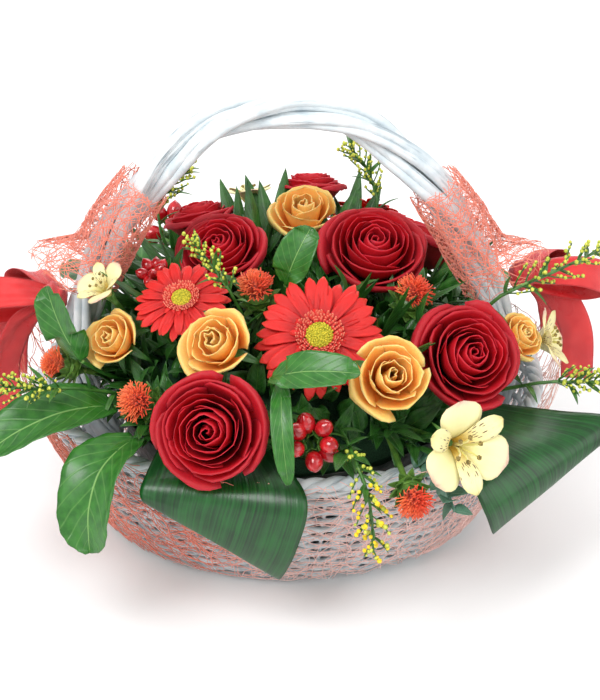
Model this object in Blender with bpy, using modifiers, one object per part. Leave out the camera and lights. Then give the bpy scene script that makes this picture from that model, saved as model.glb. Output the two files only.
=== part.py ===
"""Flower basket arrangement: a white willow basket with a twisted handle, a liner and wet foam
inside, a fibre net gathered round the outside with two ribbon bows, and cut flowers, berries and
leaves pushed into the foam.

Metres, +Z up, +X to the right and -Y to the front. The origin is the middle of the underside.
"""

import math

import bmesh
import bpy
from mathutils import Matrix, Vector

# Basket, as half widths along X and half depths along Y
BASE_X, BASE_Y = 0.122, 0.094
RIM_X, RIM_Y = 0.166, 0.136
RIM_Z = 0.100
RIM_R = 0.005
WALL_T = 0.005
WALL_TOP_Z = 0.093
BASE_T = 0.008
GAP = 0.0006

# Handle: the middle of its right half from the top to the foot, which is inside the wall
HANDLE_SIDE = [
    (0.0, 0.291), (0.044, 0.281), (0.078, 0.253), (0.1055, 0.217), (0.1245, 0.181), (0.136, 0.145),
    (0.1425, 0.110), (0.136, 0.078), (0.122, 0.046),
]
ROD_R = 0.0056
TWIST_R = 0.0068
TWIST_TURNS = 2.5
ROD_COUNT = 3

# Liner and foam
LINER_T = 0.0010
LINER_TOP_Z = 0.090
# Foam, as heights with the half width and half depth there
FOAM = [
    (0.011, 0.088, 0.064), (0.045, 0.101, 0.086), (0.090, 0.110, 0.108),
    (0.114, 0.106, 0.102), (0.136, 0.080, 0.076),
]

# Net round the basket
NET_T = 0.0014
NET_OFF = 0.004

# Net sleeve round a leg, from the top: inner and outer point (x, z) on the leg's plane, and half depth
SLEEVE = [
    ((0.0775, 0.2295), (0.1035, 0.2520), 0.0175),
    ((0.0935, 0.2030), (0.1240, 0.2240), 0.0180),
    ((0.1060, 0.1790), (0.1380, 0.2010), 0.0200),
    ((0.1160, 0.1600), (0.1680, 0.1930), 0.0280),
]

STEM_SINK = 0.024
HOLE_SLACK = 0.0005
SIDES = 8

# Stem radii of the kinds of flower
STEM_R = {"rose": 0.0026, "spray_rose": 0.0016, "gerbera": 0.0026, "lily": 0.0018, "thistle": 0.0018}

# Profiles from the middle of the bloom's face down to its stem, as shares of its diameter
PROFILES = {
    "rose": [(0, 0.09), (0.24, 0.12), (0.44, 0.07), (0.50, -0.04), (0.38, -0.22), (0.22, -0.34), (0.09, -0.40)],
    "spray_rose": [(0, 0.12), (0.22, 0.16), (0.42, 0.10), (0.50, -0.02), (0.36, -0.28), (0.12, -0.46)],
    "gerbera": [(0, 0.04), (0.16, 0.06), (0.46, 0.08), (0.50, 0.04), (0.20, -0.06), (0.10, -0.13)],
    "lily": [(0, -0.16), (0.30, -0.02), (0.46, 0.06), (0.50, 0.0), (0.26, -0.22), (0.12, -0.46)],
    "thistle": [(0, 0.42), (0.30, 0.34), (0.50, 0.06), (0.38, -0.22), (0.42, -0.45), (0.22, -0.70)],
}

# name, kind, colour, middle of the bloom's face, direction it faces (round from the front, up), diameter
FLOWERS = [
    ("red_rose_front", "rose", "red", (-0.047, -0.145, 0.146), (-12, 30), 0.076),
    ("red_rose_right", "rose", "red", (0.112, -0.084, 0.163), (24, 40), 0.076),
    ("red_rose_top", "rose", "red", (0.056, 0.008, 0.192), (14, 64), 0.076),
    ("red_rose_left", "rose", "red", (-0.046, 0.014, 0.188), (-26, 62), 0.066),
    ("red_rose_back", "rose", "red", (0.015, 0.109, 0.190), (180, 68), 0.050),
    ("red_rose_back_left", "rose", "red", (-0.064, 0.084, 0.178), (-140, 66), 0.054),
    ("red_rose_back_right", "rose", "red", (0.094, 0.082, 0.160), (140, 50), 0.064),
    ("orange_rose_left", "spray_rose", "orange", (-0.112, -0.061, 0.162), (-42, 40), 0.042),
    ("orange_rose_middle", "spray_rose", "orange", (-0.045, -0.096, 0.179), (-30, 46), 0.050),
    ("orange_rose_front", "spray_rose", "orange", (0.062, -0.124, 0.172), (12, 40), 0.054),
    ("orange_rose_top", "spray_rose", "orange", (0.010, 0.056, 0.196), (0, 72), 0.052),
    ("orange_rose_right", "spray_rose", "orange", (0.150, -0.041, 0.153), (58, 46), 0.036),
    ("orange_rose_back", "spray_rose", "orange", (-0.018, 0.134, 0.146), (-172, 34), 0.054),
    ("gerbera_middle", "gerbera", "scarlet", (0.019, -0.076, 0.171), (0, 52), 0.080),
    ("gerbera_left", "gerbera", "scarlet", (-0.067, -0.048, 0.182), (-16, 64), 0.060),
    ("gerbera_back", "gerbera", "scarlet", (0.058, 0.126, 0.151), (160, 38), 0.076),
    ("lily_front", "lily", "cream", (0.107, -0.146, 0.134), (26, 20), 0.058),
    ("lily_left", "lily", "cream", (-0.120, -0.039, 0.190), (-60, 58), 0.034),
    ("lily_right", "lily", "cream", (0.173, -0.022, 0.140), (80, 22), 0.042),
    ("lily_back", "lily", "cream", (-0.029, 0.106, 0.187), (-168, 68), 0.034),
    ("thistle_middle", "thistle", "amber", (-0.021, -0.036, 0.184), (-10, 66), 0.028),
    ("thistle_top", "thistle", "amber", (0.079, -0.036, 0.180), (24, 62), 0.028),
    ("thistle_left", "thistle", "amber", (-0.092, -0.108, 0.144), (-34, 34), 0.028),
    ("thistle_far_left", "thistle", "amber", (-0.148, -0.056, 0.140), (-66, 26), 0.024),
    ("thistle_front", "thistle", "amber", (0.074, -0.170, 0.114), (10, 0), 0.026),
]

# Berry clusters: name, bottom of the cluster in the foam, middle of the cluster, radius
BERRIES = [
    ("berries_left", (-0.066, 0.000, 0.118), (-0.088, -0.006, 0.178), 0.010),
    ("berries_front", (0.010, -0.074, 0.116), (0.014, -0.138, 0.134), 0.016),
    ("berries_back", (-0.060, 0.070, 0.112), (-0.086, 0.126, 0.146), 0.018),
]

# Goldenrod sprays: name, points of the route from the foam to the tip, radius of the spray
SPRAYS = [
    (
        "goldenrod_left",
        [(-0.084, -0.056, 0.114), (-0.130, -0.086, 0.140), (-0.156, -0.096, 0.146), (-0.178, -0.100, 0.150)],
        0.009,
    ),
    (
        "goldenrod_top_left",
        [(-0.062, 0.044, 0.116), (-0.088, 0.060, 0.178), (-0.084, 0.068, 0.202), (-0.068, 0.072, 0.218)],
        0.009,
    ),
    (
        "goldenrod_middle",
        [(-0.016, -0.016, 0.122), (-0.034, -0.058, 0.188), (-0.046, -0.052, 0.206), (-0.060, -0.040, 0.220)],
        0.007,
    ),
    (
        "goldenrod_top_right",
        [(0.050, 0.054, 0.120), (0.060, 0.076, 0.178), (0.054, 0.092, 0.206), (0.040, 0.100, 0.222)],
        0.009,
    ),
    (
        "goldenrod_right",
        [(0.094, -0.014, 0.112), (0.126, -0.042, 0.176), (0.164, -0.036, 0.194), (0.206, -0.008, 0.200)],
        0.010,
    ),
    (
        "goldenrod_far_right",
        [(0.096, -0.044, 0.104), (0.158, -0.066, 0.132), (0.182, -0.072, 0.136), (0.204, -0.076, 0.140)],
        0.009,
    ),
    (
        "goldenrod_front",
        [(0.026, -0.070, 0.110), (0.036, -0.136, 0.132), (0.048, -0.168, 0.112), (0.051, -0.172, 0.076)],
        0.010,
    ),
    (
        "goldenrod_back",
        [(0.032, 0.064, 0.106), (0.018, 0.148, 0.121), (0.012, 0.174, 0.119), (0.006, 0.190, 0.103)],
        0.009,
    ),
]

# Leaves: name, start on the foam, foot of the blade, tip, width, how far the middle rises, way its face points
LEAVES = [
    (
        "leaf_far_left", (-0.100, -0.050, 0.112), (-0.110, -0.078, 0.122), (-0.190, -0.108, 0.104),
        0.042, 0.008, (-0.2, -0.3, 0.9),
    ),
    (
        "leaf_low_left", (-0.090, -0.070, 0.110), (-0.094, -0.108, 0.118), (-0.120, -0.160, 0.068),
        0.046, 0.016, (-0.5, -0.5, 0.7),
    ),
    (
        "leaf_upper_left", (-0.100, -0.040, 0.116), (-0.130, -0.068, 0.150), (-0.150, -0.056, 0.196),
        0.026, 0.002, (-0.5, -0.8, 0.3),
    ),
    (
        "leaf_centre", (0.004, 0.000, 0.140), (-0.002, -0.034, 0.186), (0.014, -0.026, 0.222),
        0.024, 0.002, (-0.3, -0.8, 0.4),
    ),
    (
        "leaf_middle_front", (-0.004, -0.088, 0.116), (-0.010, -0.127, 0.172), (0.042, -0.146, 0.186),
        0.024, 0.004, (-0.2, -0.5, 0.8),
    ),
    (
        "leaf_front", (-0.014, -0.070, 0.130), (-0.004, -0.124, 0.170), (0.000, -0.166, 0.122),
        0.013, 0.010, (-0.1, -0.8, 0.4),
    ),
    (
        "leaf_right_back", (0.102, 0.040, 0.108), (0.112, 0.056, 0.114), (0.180, 0.110, 0.104),
        0.048, 0.012, (0.1, 0.3, 0.9),
    ),
    (
        "leaf_back_left", (-0.090, 0.066, 0.104), (-0.100, 0.080, 0.114), (-0.158, 0.146, 0.094),
        0.054, 0.014, (-0.2, 0.3, 0.9),
    ),
    (
        "leaf_back_low", (0.022, 0.098, 0.102), (0.032, 0.118, 0.111), (0.078, 0.190, 0.082),
        0.040, 0.016, (0.2, 0.4, 0.8),
    ),
]

# Leaves folded under outside the rim: their two side edges, each from the foam out, round the fold and back
FOLDS = [
    (
        "folded_leaf_front",
        [
            (-0.078, -0.098, 0.112), (-0.086, -0.142, 0.113), (-0.089, -0.153, 0.108),
            (-0.086, -0.154, 0.101), (-0.080, -0.149, 0.102), (-0.076, -0.147, 0.105),
        ],
        [
            (-0.010, -0.112, 0.112), (0.011, -0.160, 0.108), (0.005, -0.167, 0.076),
            (-0.006, -0.158, 0.047), (-0.006, -0.152, 0.066), (-0.006, -0.155, 0.092),
        ],
    ),
    (
        "folded_leaf_right",
        [
            (0.106, -0.052, 0.112), (0.168, -0.078, 0.119), (0.202, -0.086, 0.119),
            (0.198, -0.095, 0.107), (0.182, -0.090, 0.103), (0.166, -0.087, 0.105),
        ],
        [
            (0.084, -0.088, 0.111), (0.108, -0.140, 0.109), (0.119, -0.153, 0.092),
            (0.125, -0.147, 0.073), (0.124, -0.142, 0.086), (0.124, -0.143, 0.096),
        ],
    ),
]

# Bows: name, side of the basket, middle of the knot as on the right-hand side, turn of the tails
RIBBON_W = 0.024
RIBBON_T = 0.0009
BOWS = [("bow_left", -1, (0.154, -0.004, 0.160), 0), ("bow_right", 1, (0.154, 0.016, 0.166), 24)]
# Loops and tails from the knot: how far out, and up across the loop's plane
LOOP = [
    (0.0, 0.001), (0.016, 0.009), (0.040, 0.012), (0.055, 0.002), (0.040, -0.009), (0.016, -0.008), (0.0, -0.003),
]
TAIL = [(0.0, 0.0, -0.002), (0.022, -0.006, -0.012), (0.036, -0.012, -0.038), (0.038, -0.016, -0.074)]

COLOURS = {
    "white": (0.86, 0.88, 0.88, 0.6),
    "net": (0.95, 0.50, 0.38, 0.8),
    "ribbon": (0.85, 0.04, 0.06, 0.35),
    "red": (0.55, 0.0, 0.02, 0.6),
    "orange": (0.96, 0.52, 0.12, 0.6),
    "scarlet": (0.85, 0.06, 0.03, 0.6),
    "cream": (0.93, 0.88, 0.50, 0.6),
    "amber": (0.90, 0.25, 0.04, 0.8),
    "berry": (0.55, 0.02, 0.03, 0.25),
    "goldenrod": (0.62, 0.62, 0.10, 0.8),
    "leaf": (0.08, 0.30, 0.05, 0.45),
    "foam": (0.10, 0.30, 0.16, 0.95),
    "liner": (0.05, 0.06, 0.05, 0.4),
}


def clear_scene():
    for obj in list(bpy.data.objects):
        bpy.data.objects.remove(obj, do_unlink=True)


def new_collection(name):
    collection = bpy.data.collections.new(name)
    bpy.context.scene.collection.children.link(collection)
    return collection


def material(name):
    found = bpy.data.materials.get(name)
    if found:
        return found
    red, green, blue, roughness = COLOURS[name]
    made = bpy.data.materials.new(name)
    made.use_nodes = True
    shader = made.node_tree.nodes["Principled BSDF"]
    shader.inputs["Base Color"].default_value = (red, green, blue, 1)
    shader.inputs["Roughness"].default_value = roughness
    return made


def add_object(name, data, colour, collection):
    obj = bpy.data.objects.new(name, data)
    collection.objects.link(obj)
    data.materials.append(material(colour))
    return obj


def object_from(bm, name, colour, collection, smooth_below=math.radians(40)):
    mesh = bpy.data.meshes.new(name)
    bm.to_mesh(mesh)
    bm.free()
    mesh.shade_smooth()
    mesh.set_sharp_from_angle(angle=smooth_below)
    return add_object(name, mesh, colour, collection)


def smooth_route(points, steps):
    """A smooth curve through the points, as Catmull-Rom spans of that many steps."""
    points = [Vector(p) for p in points]
    ends = [2 * points[0] - points[1], *points, 2 * points[-1] - points[-2]]
    route = []
    for a, b, c, d in zip(ends, ends[1:], ends[2:], ends[3:]):
        for i in range(steps):
            t = i / steps
            bend = (2 * a - 5 * b + 4 * c - d) * t**2 + (3 * b - a - 3 * c + d) * t**3
            route.append(0.5 * (2 * b + (c - a) * t + bend))
    return [*route, points[-1]]


def oval_stack(rings, sides, capped):
    """Ovals (half width, half depth, height) joined from the first to the last."""
    bm = bmesh.new()
    made = bmesh.ops.create_circle(bm, segments=sides, radius=1, cap_ends=capped)["verts"]
    edges = [e for e in bm.edges]

    def shape(verts, ring):
        half_x, half_y, height = ring
        for v in verts:
            flat = Vector((v.co.x, v.co.y)).normalized()
            v.co = (flat.x * half_x, flat.y * half_y, height)

    shape(made, rings[0])
    for ring in rings[1:]:
        grown = bmesh.ops.extrude_edge_only(bm, edges=edges)["geom"]
        verts = [g for g in grown if isinstance(g, bmesh.types.BMVert)]
        edges = [g for g in grown if isinstance(g, bmesh.types.BMEdge)]
        shape(verts, ring)
    if capped:
        bmesh.ops.contextual_create(bm, geom=edges)
    bmesh.ops.recalc_face_normals(bm, faces=bm.faces)
    return bm


def solidify(obj, thickness, offset):
    modifier = obj.modifiers.new("thickness", "SOLIDIFY")
    modifier.thickness = thickness
    modifier.offset = offset
    return obj


def wall_ring(share, out=0.0):
    """The oval of the basket's outer wall at a share of its height, grown outwards."""
    flare = share**0.8
    return (
        BASE_X + (RIM_X - BASE_X) * flare + out,
        BASE_Y + (RIM_Y - BASE_Y) * flare + out,
        0.002 + (WALL_TOP_Z - 0.002) * share,
    )


def make_basket(collection):
    side_x, side_y = BASE_X - 0.006, BASE_Y - 0.006
    rings = [(side_x - 0.010, side_y - 0.010, 0), (side_x, side_y, 0.0015), (side_x, side_y, BASE_T)]
    base = oval_stack(rings, 32, capped=True)
    object_from(base, "basket_base", "white", collection)
    wall = oval_stack([wall_ring(i / 4) for i in range(5)], 32, capped=False)
    solidify(object_from(wall, "basket_wall", "white", collection), WALL_T, -1)
    rim = bpy.data.curves.new("basket_rim", "CURVE")
    rim.dimensions = "3D"
    spline = rim.splines.new("POLY")
    count = 32
    spline.points.add(count - 1)
    for i, point in enumerate(spline.points):
        angle = 2 * math.pi * i / count
        point.co = ((RIM_X - 0.002) * math.cos(angle), (RIM_Y - 0.002) * math.sin(angle), RIM_Z, 1)
    spline.use_cyclic_u = True
    rim.bevel_depth = RIM_R
    rim.bevel_resolution = 1
    add_object("basket_rim", rim, "white", collection)


def handle_route(count):
    """Points along the handle's middle, evenly spaced, from the left foot to the right foot."""
    right = [Vector((x, 0, z)) for x, z in HANDLE_SIDE]
    left = [Vector((-p.x, 0, p.z)) for p in reversed(right[1:])]
    fine = smooth_route(left + right, 12)
    along = [0.0]
    for a, b in zip(fine, fine[1:]):
        along.append(along[-1] + (b - a).length)
    route, at = [], 0
    for i in range(count):
        want = along[-1] * i / (count - 1)
        while at < len(along) - 2 and along[at + 1] < want:
            at += 1
        share = (want - along[at]) / (along[at + 1] - along[at])
        route.append(fine[at].lerp(fine[at + 1], share))
    return route


def tube(name, points, radii, colour, collection, resolution=2):
    curve = bpy.data.curves.new(name, "CURVE")
    curve.dimensions = "3D"
    spline = curve.splines.new("POLY")
    spline.points.add(len(points) - 1)
    for point, place, radius in zip(spline.points, points, radii):
        point.co = (*place, 1)
        point.radius = radius
    curve.bevel_depth = 1.0
    curve.bevel_resolution = resolution
    curve.use_fill_caps = True
    return add_object(name, curve, colour, collection)


def make_handle(collection):
    middle = handle_route(38)
    for rod in range(ROD_COUNT):
        points = []
        for i, place in enumerate(middle):
            ahead = middle[min(i + 1, len(middle) - 1)] - middle[max(i - 1, 0)]
            across = Vector((0, 1, 0))
            out = ahead.normalized().cross(across)
            angle = 2 * math.pi * (TWIST_TURNS * i / (len(middle) - 1) + rod / ROD_COUNT)
            points.append(place + TWIST_R * (math.cos(angle) * out + math.sin(angle) * across))
        tube(f"handle_rod_{rod + 1}", points, [ROD_R] * len(points), "white", collection, 1)


def make_liner_and_foam(collection):
    bottom = BASE_T + GAP + LINER_T
    rings = [(0.050, 0.036, bottom), (0.096, 0.072, bottom), (0.104, 0.090, 0.045), (0.114, 0.112, LINER_TOP_Z)]
    liner = oval_stack(rings, 24, capped=False)
    floor = [e for e in liner.edges if e.is_boundary and max(v.co.z for v in e.verts) < bottom + 0.001]
    bmesh.ops.contextual_create(liner, geom=floor)
    bmesh.ops.recalc_face_normals(liner, faces=liner.faces)
    solidify(object_from(liner, "liner", "liner", collection), LINER_T, 1)
    foam = oval_stack([(x, y, z) for z, x, y in FOAM], 24, capped=True)
    return object_from(foam, "foam", "foam", collection)


def aim_of(turn, lift):
    """The direction that faces round from the front by turn degrees and up by lift degrees."""
    turn, lift = math.radians(turn), math.radians(lift)
    return Vector((math.sin(turn) * math.cos(lift), -math.cos(turn) * math.cos(lift), math.sin(lift)))


def in_foam(place):
    """How far out a point is, as a share of the way to the foam's side: under 1 is inside."""
    if not FOAM[0][0] < place.z < FOAM[-1][0]:
        return 9.0
    for (low, x0, y0), (high, x1, y1) in zip(FOAM, FOAM[1:]):
        if place.z <= high:
            share = (place.z - low) / (high - low)
            break
    half_x, half_y = x0 + (x1 - x0) * share, y0 + (y1 - y0) * share
    return math.hypot(place.x / half_x, place.y / half_y)


def stem_length(face, aim, start):
    """How far back from the bloom's face the stem's foot is, sunk into the foam."""
    back = start
    while back < 0.30 and in_foam(face - aim * back) > 1:
        back += 0.001
    return back + STEM_SINK


def stem_cutter(name, foot, aim, radius, reach, cutters):
    bm = bmesh.new()
    bmesh.ops.create_cone(bm, cap_ends=True, segments=6, radius1=radius, radius2=radius, depth=reach)
    turn = aim.to_track_quat("Z", "Y").to_matrix().to_4x4()
    place = Matrix.Translation(foot + aim * (reach / 2 - 0.001)) @ turn
    bmesh.ops.transform(bm, matrix=place, verts=bm.verts)
    cutter = object_from(bm, name, "foam", cutters)
    cutter.hide_render = True
    cutter.display_type = "WIRE"


def make_flower(spec, collection, cutters):
    name, kind, colour, face, facing, diameter = spec
    face, aim = Vector(face), aim_of(*facing)
    stem = STEM_R[kind]
    outline = [(r * diameter, z * diameter) for r, z in PROFILES[kind]]
    length = stem_length(face, aim, -outline[-1][1])
    outline += [(stem, outline[-1][1] - 0.004), (stem, -length), (0, -length)]
    bm = bmesh.new()
    verts = [bm.verts.new((r, 0, z)) for r, z in outline]
    for a, b in zip(verts, verts[1:]):
        bm.edges.new((a, b))
    obj = object_from(bm, name, colour, collection)
    turned = obj.modifiers.new("turned", "SCREW")
    turned.steps = turned.render_steps = SIDES
    turned.use_merge_vertices = True
    turned.merge_threshold = 0.0001
    obj.rotation_euler = aim.to_track_quat("Z", "Y").to_euler()
    obj.location = face
    stem_cutter(name + "_hole", face - aim * length, aim, stem * 1.16 + HOLE_SLACK, STEM_SINK + 0.03, cutters)


def make_route_piece(name, points, radii, colour, collection, cutters):
    """A stem with its spray or cluster, as a tube whose radius changes along its route."""
    tube(name, points, radii, colour, collection)
    aim = (points[1] - points[0]).normalized()
    stem_cutter(name + "_hole", points[0], aim, radii[0] * 1.16 + HOLE_SLACK, 0.05, cutters)


def make_berries(spec, collection, cutters):
    name, foot, middle, radius = spec
    foot, middle = Vector(foot), Vector(middle)
    aim = (middle - foot).normalized()
    stem, near = 0.0016, middle - aim * radius * 1.3
    places = [foot, near, near + aim * radius * 0.5, middle, middle + aim * radius * 0.6, middle + aim * radius]
    radii = [stem, stem, radius * 0.8, radius, radius * 0.8, radius * 0.3]
    make_route_piece(name, places, radii, "berry", collection, cutters)


def make_spray(spec, collection, cutters):
    name, route, radius = spec
    points = smooth_route(route, 3)
    stem, last = 0.0014, len(points) - 1
    radii = []
    for i in range(len(points)):
        share = max(0, (i / last - 0.35) / 0.65)
        radii.append(stem + (radius - stem) * math.sin(math.pi * share**0.8) ** 0.7 if share else stem)
    radii[-1] = radius * 0.25
    make_route_piece(name, points, radii, "goldenrod", collection, cutters)


def make_leaf(spec, collection):
    """A leaf on a short stalk, from just outside the foam to its tip."""
    name, start, foot, tip, width, rise, facing = spec
    start, foot, tip, facing = Vector(start), Vector(foot), Vector(tip), Vector(facing)
    while in_foam(start) < 1.05:
        start += 0.0005 * Vector((start.x, start.y, 0.06)).normalized()
    side = (tip - foot).cross(facing).normalized()
    up = side.cross((tip - foot).normalized())
    stations = [(start, 0.0012), (start.lerp(foot, 0.6) + up * 0.002, 0.0012)]
    for share, wide in ((0, 0.06), (0.18, 0.72), (0.42, 1.0), (0.70, 0.78), (0.90, 0.36), (1, 0.05)):
        stations.append((foot.lerp(tip, share) + up * rise * math.sin(math.pi * share), wide * width / 2))
    bm = bmesh.new()
    bmesh.ops.create_grid(bm, x_segments=len(stations) - 1, y_segments=2, size=0.5)
    for v in bm.verts:
        place, half = stations[round((v.co.x + 0.5) * (len(stations) - 1))]
        v.co = place + side * v.co.y * 2 * half + up * 0.3 * half * (abs(v.co.y * 2) ** 2)
    bmesh.ops.recalc_face_normals(bm, faces=bm.faces)
    solidify(object_from(bm, name, "leaf", collection), 0.0009, 0)


def make_fold(spec, collection):
    name, edge_a, edge_b = spec
    edge_a, edge_b = smooth_route(edge_a, 3), smooth_route(edge_b, 3)
    bm = bmesh.new()
    bmesh.ops.create_grid(bm, x_segments=len(edge_a) - 1, y_segments=2, size=0.5)
    for v in bm.verts:
        i = round((v.co.x + 0.5) * (len(edge_a) - 1))
        v.co = edge_a[i].lerp(edge_b[i], v.co.y + 0.5)
    bmesh.ops.recalc_face_normals(bm, faces=bm.faces)
    solidify(object_from(bm, name, "leaf", collection), 0.0010, 0)


def make_net(collection):
    rings = [wall_ring(0.03, NET_OFF), wall_ring(0.5, NET_OFF + 0.001), wall_ring(0.9, NET_OFF + 0.001)]
    rim = (RIM_X + 0.006, RIM_Y + 0.006, RIM_Z)
    rings += [rim, (rim[0] + 0.002, rim[1] + 0.002, RIM_Z + 0.010)]
    wrap = oval_stack(rings, 32, capped=False)
    for v in wrap.verts:
        # The top edge rises to the handle's legs at the two sides
        if v.co.z > RIM_Z + 0.005:
            near_leg = abs(v.co.x / rings[-1][0]) ** 24
            v.co.z += 0.012 * near_leg
            v.co.x *= 1 - 0.03 * near_leg
    solidify(object_from(wrap, "net_wrap", "net", collection), NET_T, 1)
    for side, name in ((-1, "net_sleeve_left"), (1, "net_sleeve_right")):
        make_sleeve(name, side, collection)


def make_sleeve(name, side, collection):
    """The net gathered round a leg of the handle, flaring outwards at its foot."""
    bm = oval_stack([(1, 1, i) for i in range(len(SLEEVE))], 16, capped=False)
    for v in bm.verts:
        inner, outer, depth = SLEEVE[round(v.co.z)]
        middle = (Vector(inner) + Vector(outer)) / 2
        across = (Vector(outer) - Vector(inner)) / 2
        place = middle + across * v.co.x
        v.co = (side * place.x, depth * v.co.y, place.y)
    bmesh.ops.recalc_face_normals(bm, faces=bm.faces)
    solidify(object_from(bm, name, "net", collection), NET_T, 1)


def ribbon_strip(name, points, width, cutters):
    """A strip of ribbon along the points, as a helper that a bow is joined from."""
    route = smooth_route(points, 2)
    bm = bmesh.new()
    bmesh.ops.create_grid(bm, x_segments=len(route) - 1, y_segments=1, size=0.5)
    for v in bm.verts:
        v.co = route[round((v.co.x + 0.5) * (len(route) - 1))] + width * v.co.y
    bmesh.ops.recalc_face_normals(bm, faces=bm.faces)
    strip = solidify(object_from(bm, name, "ribbon", cutters), RIBBON_T, 0)
    strip.hide_render = True
    strip.display_type = "WIRE"
    return strip


def make_bow(spec, collection, cutters):
    """A ribbon tied in a bow: a knot with two loops and two tails."""
    name, side, knot, tail_turn = spec
    knot, flip = Vector(knot), Matrix.Diagonal((side, 1, 1))
    strips = []
    for turn, tilt, size in ((-8, 0, 1.0), (46, -60, 0.7)):
        spin = Matrix.Rotation(math.radians(turn), 3, "Z") @ Matrix.Rotation(math.radians(tilt), 3, "X")
        up, wide = Vector((0, -0.6, 0.8)), Vector((0, 0.8, 0.6))
        points = [flip @ (knot + spin @ (Vector((out * size, 0, 0)) + up * rise * size)) for out, rise in LOOP]
        strips.append((points, flip @ (spin @ wide * RIBBON_W)))
    for turn, size in ((-14, 1.0), (34, 0.8)):
        spin = Matrix.Rotation(math.radians(turn + tail_turn), 3, "Z")
        points = [flip @ (knot + spin @ (Vector(p) * size)) for p in TAIL]
        strips.append((points, flip @ (spin @ Vector((0.9, -0.35, 0.25)).normalized() * RIBBON_W * 0.9)))
    bm = bmesh.new()
    bmesh.ops.create_uvsphere(bm, u_segments=10, v_segments=6, radius=1)
    scale = Matrix.Diagonal((0.009, 0.012, 0.010)).to_4x4()
    bmesh.ops.transform(bm, matrix=Matrix.Translation(flip @ knot) @ scale, verts=bm.verts)
    bow = object_from(bm, name, "ribbon", collection)
    for i, (points, wide) in enumerate(strips):
        join = bow.modifiers.new(f"strip_{i}", "BOOLEAN")
        join.operation = "UNION"
        join.object = ribbon_strip(f"{name}_strip_{i}", points, wide, cutters)


def cut_stem_holes(foam, cutters):
    for cutter in [c for c in cutters.objects if c.name.endswith("_hole")]:
        cut = foam.modifiers.new(cutter.name, "BOOLEAN")
        cut.operation = "DIFFERENCE"
        cut.object = cutter


def main():
    clear_scene()
    collection = new_collection("flower_basket")
    cutters = new_collection("cutters")
    make_basket(collection)
    make_handle(collection)
    foam = make_liner_and_foam(collection)
    for spec in FLOWERS:
        make_flower(spec, collection, cutters)
    for spec in BERRIES:
        make_berries(spec, collection, cutters)
    for spec in SPRAYS:
        make_spray(spec, collection, cutters)
    for spec in LEAVES:
        make_leaf(spec, collection)
    for spec in FOLDS:
        make_fold(spec, collection)
    make_net(collection)
    for spec in BOWS:
        make_bow(spec, collection, cutters)
    cut_stem_holes(foam, cutters)


main()
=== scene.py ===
"""Flower basket arrangement, dressed over its packed frame.

Blooms, sprays and leaves take their place, aim and size from the CAD nodes that they stand for. Lengths
are in metres, +Z is up and -Y is the front.
"""

import functools
import math
import random

import bmesh
import bpy
import numpy
from mathutils import Matrix, Vector, noise


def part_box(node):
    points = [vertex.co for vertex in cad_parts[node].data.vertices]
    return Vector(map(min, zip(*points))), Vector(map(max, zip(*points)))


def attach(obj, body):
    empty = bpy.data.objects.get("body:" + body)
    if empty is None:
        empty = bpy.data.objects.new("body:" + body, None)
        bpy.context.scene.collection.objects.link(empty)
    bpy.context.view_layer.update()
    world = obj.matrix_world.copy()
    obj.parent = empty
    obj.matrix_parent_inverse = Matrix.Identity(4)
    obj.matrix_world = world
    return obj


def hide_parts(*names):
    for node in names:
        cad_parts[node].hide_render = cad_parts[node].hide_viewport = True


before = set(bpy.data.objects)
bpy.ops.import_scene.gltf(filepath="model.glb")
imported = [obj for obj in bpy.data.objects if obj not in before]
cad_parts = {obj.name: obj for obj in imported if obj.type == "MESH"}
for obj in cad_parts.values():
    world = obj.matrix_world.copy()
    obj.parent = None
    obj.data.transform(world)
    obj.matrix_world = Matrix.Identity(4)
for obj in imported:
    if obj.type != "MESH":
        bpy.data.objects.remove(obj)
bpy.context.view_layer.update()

bl_info = {
    "name": "Flower Basket Arrangement",
    "version": (1, 0, 0),
    "blender": (4, 5, 0),
    "location": "3D View > Sidebar > Basket",
    "description": "Dresses a willow basket with cut flowers, greens, net and ribbon",
    "category": "Object",
}

UP = Vector((0, 0, 1))
GOLDEN_TURN = 2.39996


def paint(red, green, blue):
    """A colour from screen values of 0 to 255 to the linear values that the shaders read."""
    values = (c / 255 for c in (red, green, blue))
    return tuple(c / 12.92 if c < 0.0404 else ((c + 0.055) / 1.055) ** 2.4 for c in values)


# ---------------------------------------------------------------- shader maths


class Number:
    """A socket that Python expressions can work on. Each operation adds its Math node."""

    def __init__(self, finish, socket):
        self.finish, self.socket = finish, socket

    def maths(self, operation, *others):
        return self.finish.node("ShaderNodeMath", {"operation": operation}, [self, *others])

    def __add__(self, other):
        return self.maths("ADD", other)

    __radd__ = __add__

    def __mul__(self, other):
        return self.maths("MULTIPLY", other)

    __rmul__ = __mul__

    def __sub__(self, other):
        return self.maths("SUBTRACT", other)

    def __rsub__(self, other):
        return self.finish.node("ShaderNodeMath", {"operation": "SUBTRACT"}, [other, self])

    def __pow__(self, other):
        return self.maths("POWER", other)

    def __abs__(self):
        return self.maths("ABSOLUTE")

    def wave(self, turns):
        """From 0 to 1 and back, turns times as the number goes from 0 to 1."""
        return (self * (turns * 2 * math.pi)).maths("SINE") * 0.5 + 0.5

    def step(self, low, high):
        """From 0 at low to 1 at high, smoothly."""
        smooth = {"interpolation_type": "SMOOTHSTEP"}
        return self.finish.node("ShaderNodeMapRange", smooth, {0: self, 1: low, 2: high})


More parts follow.
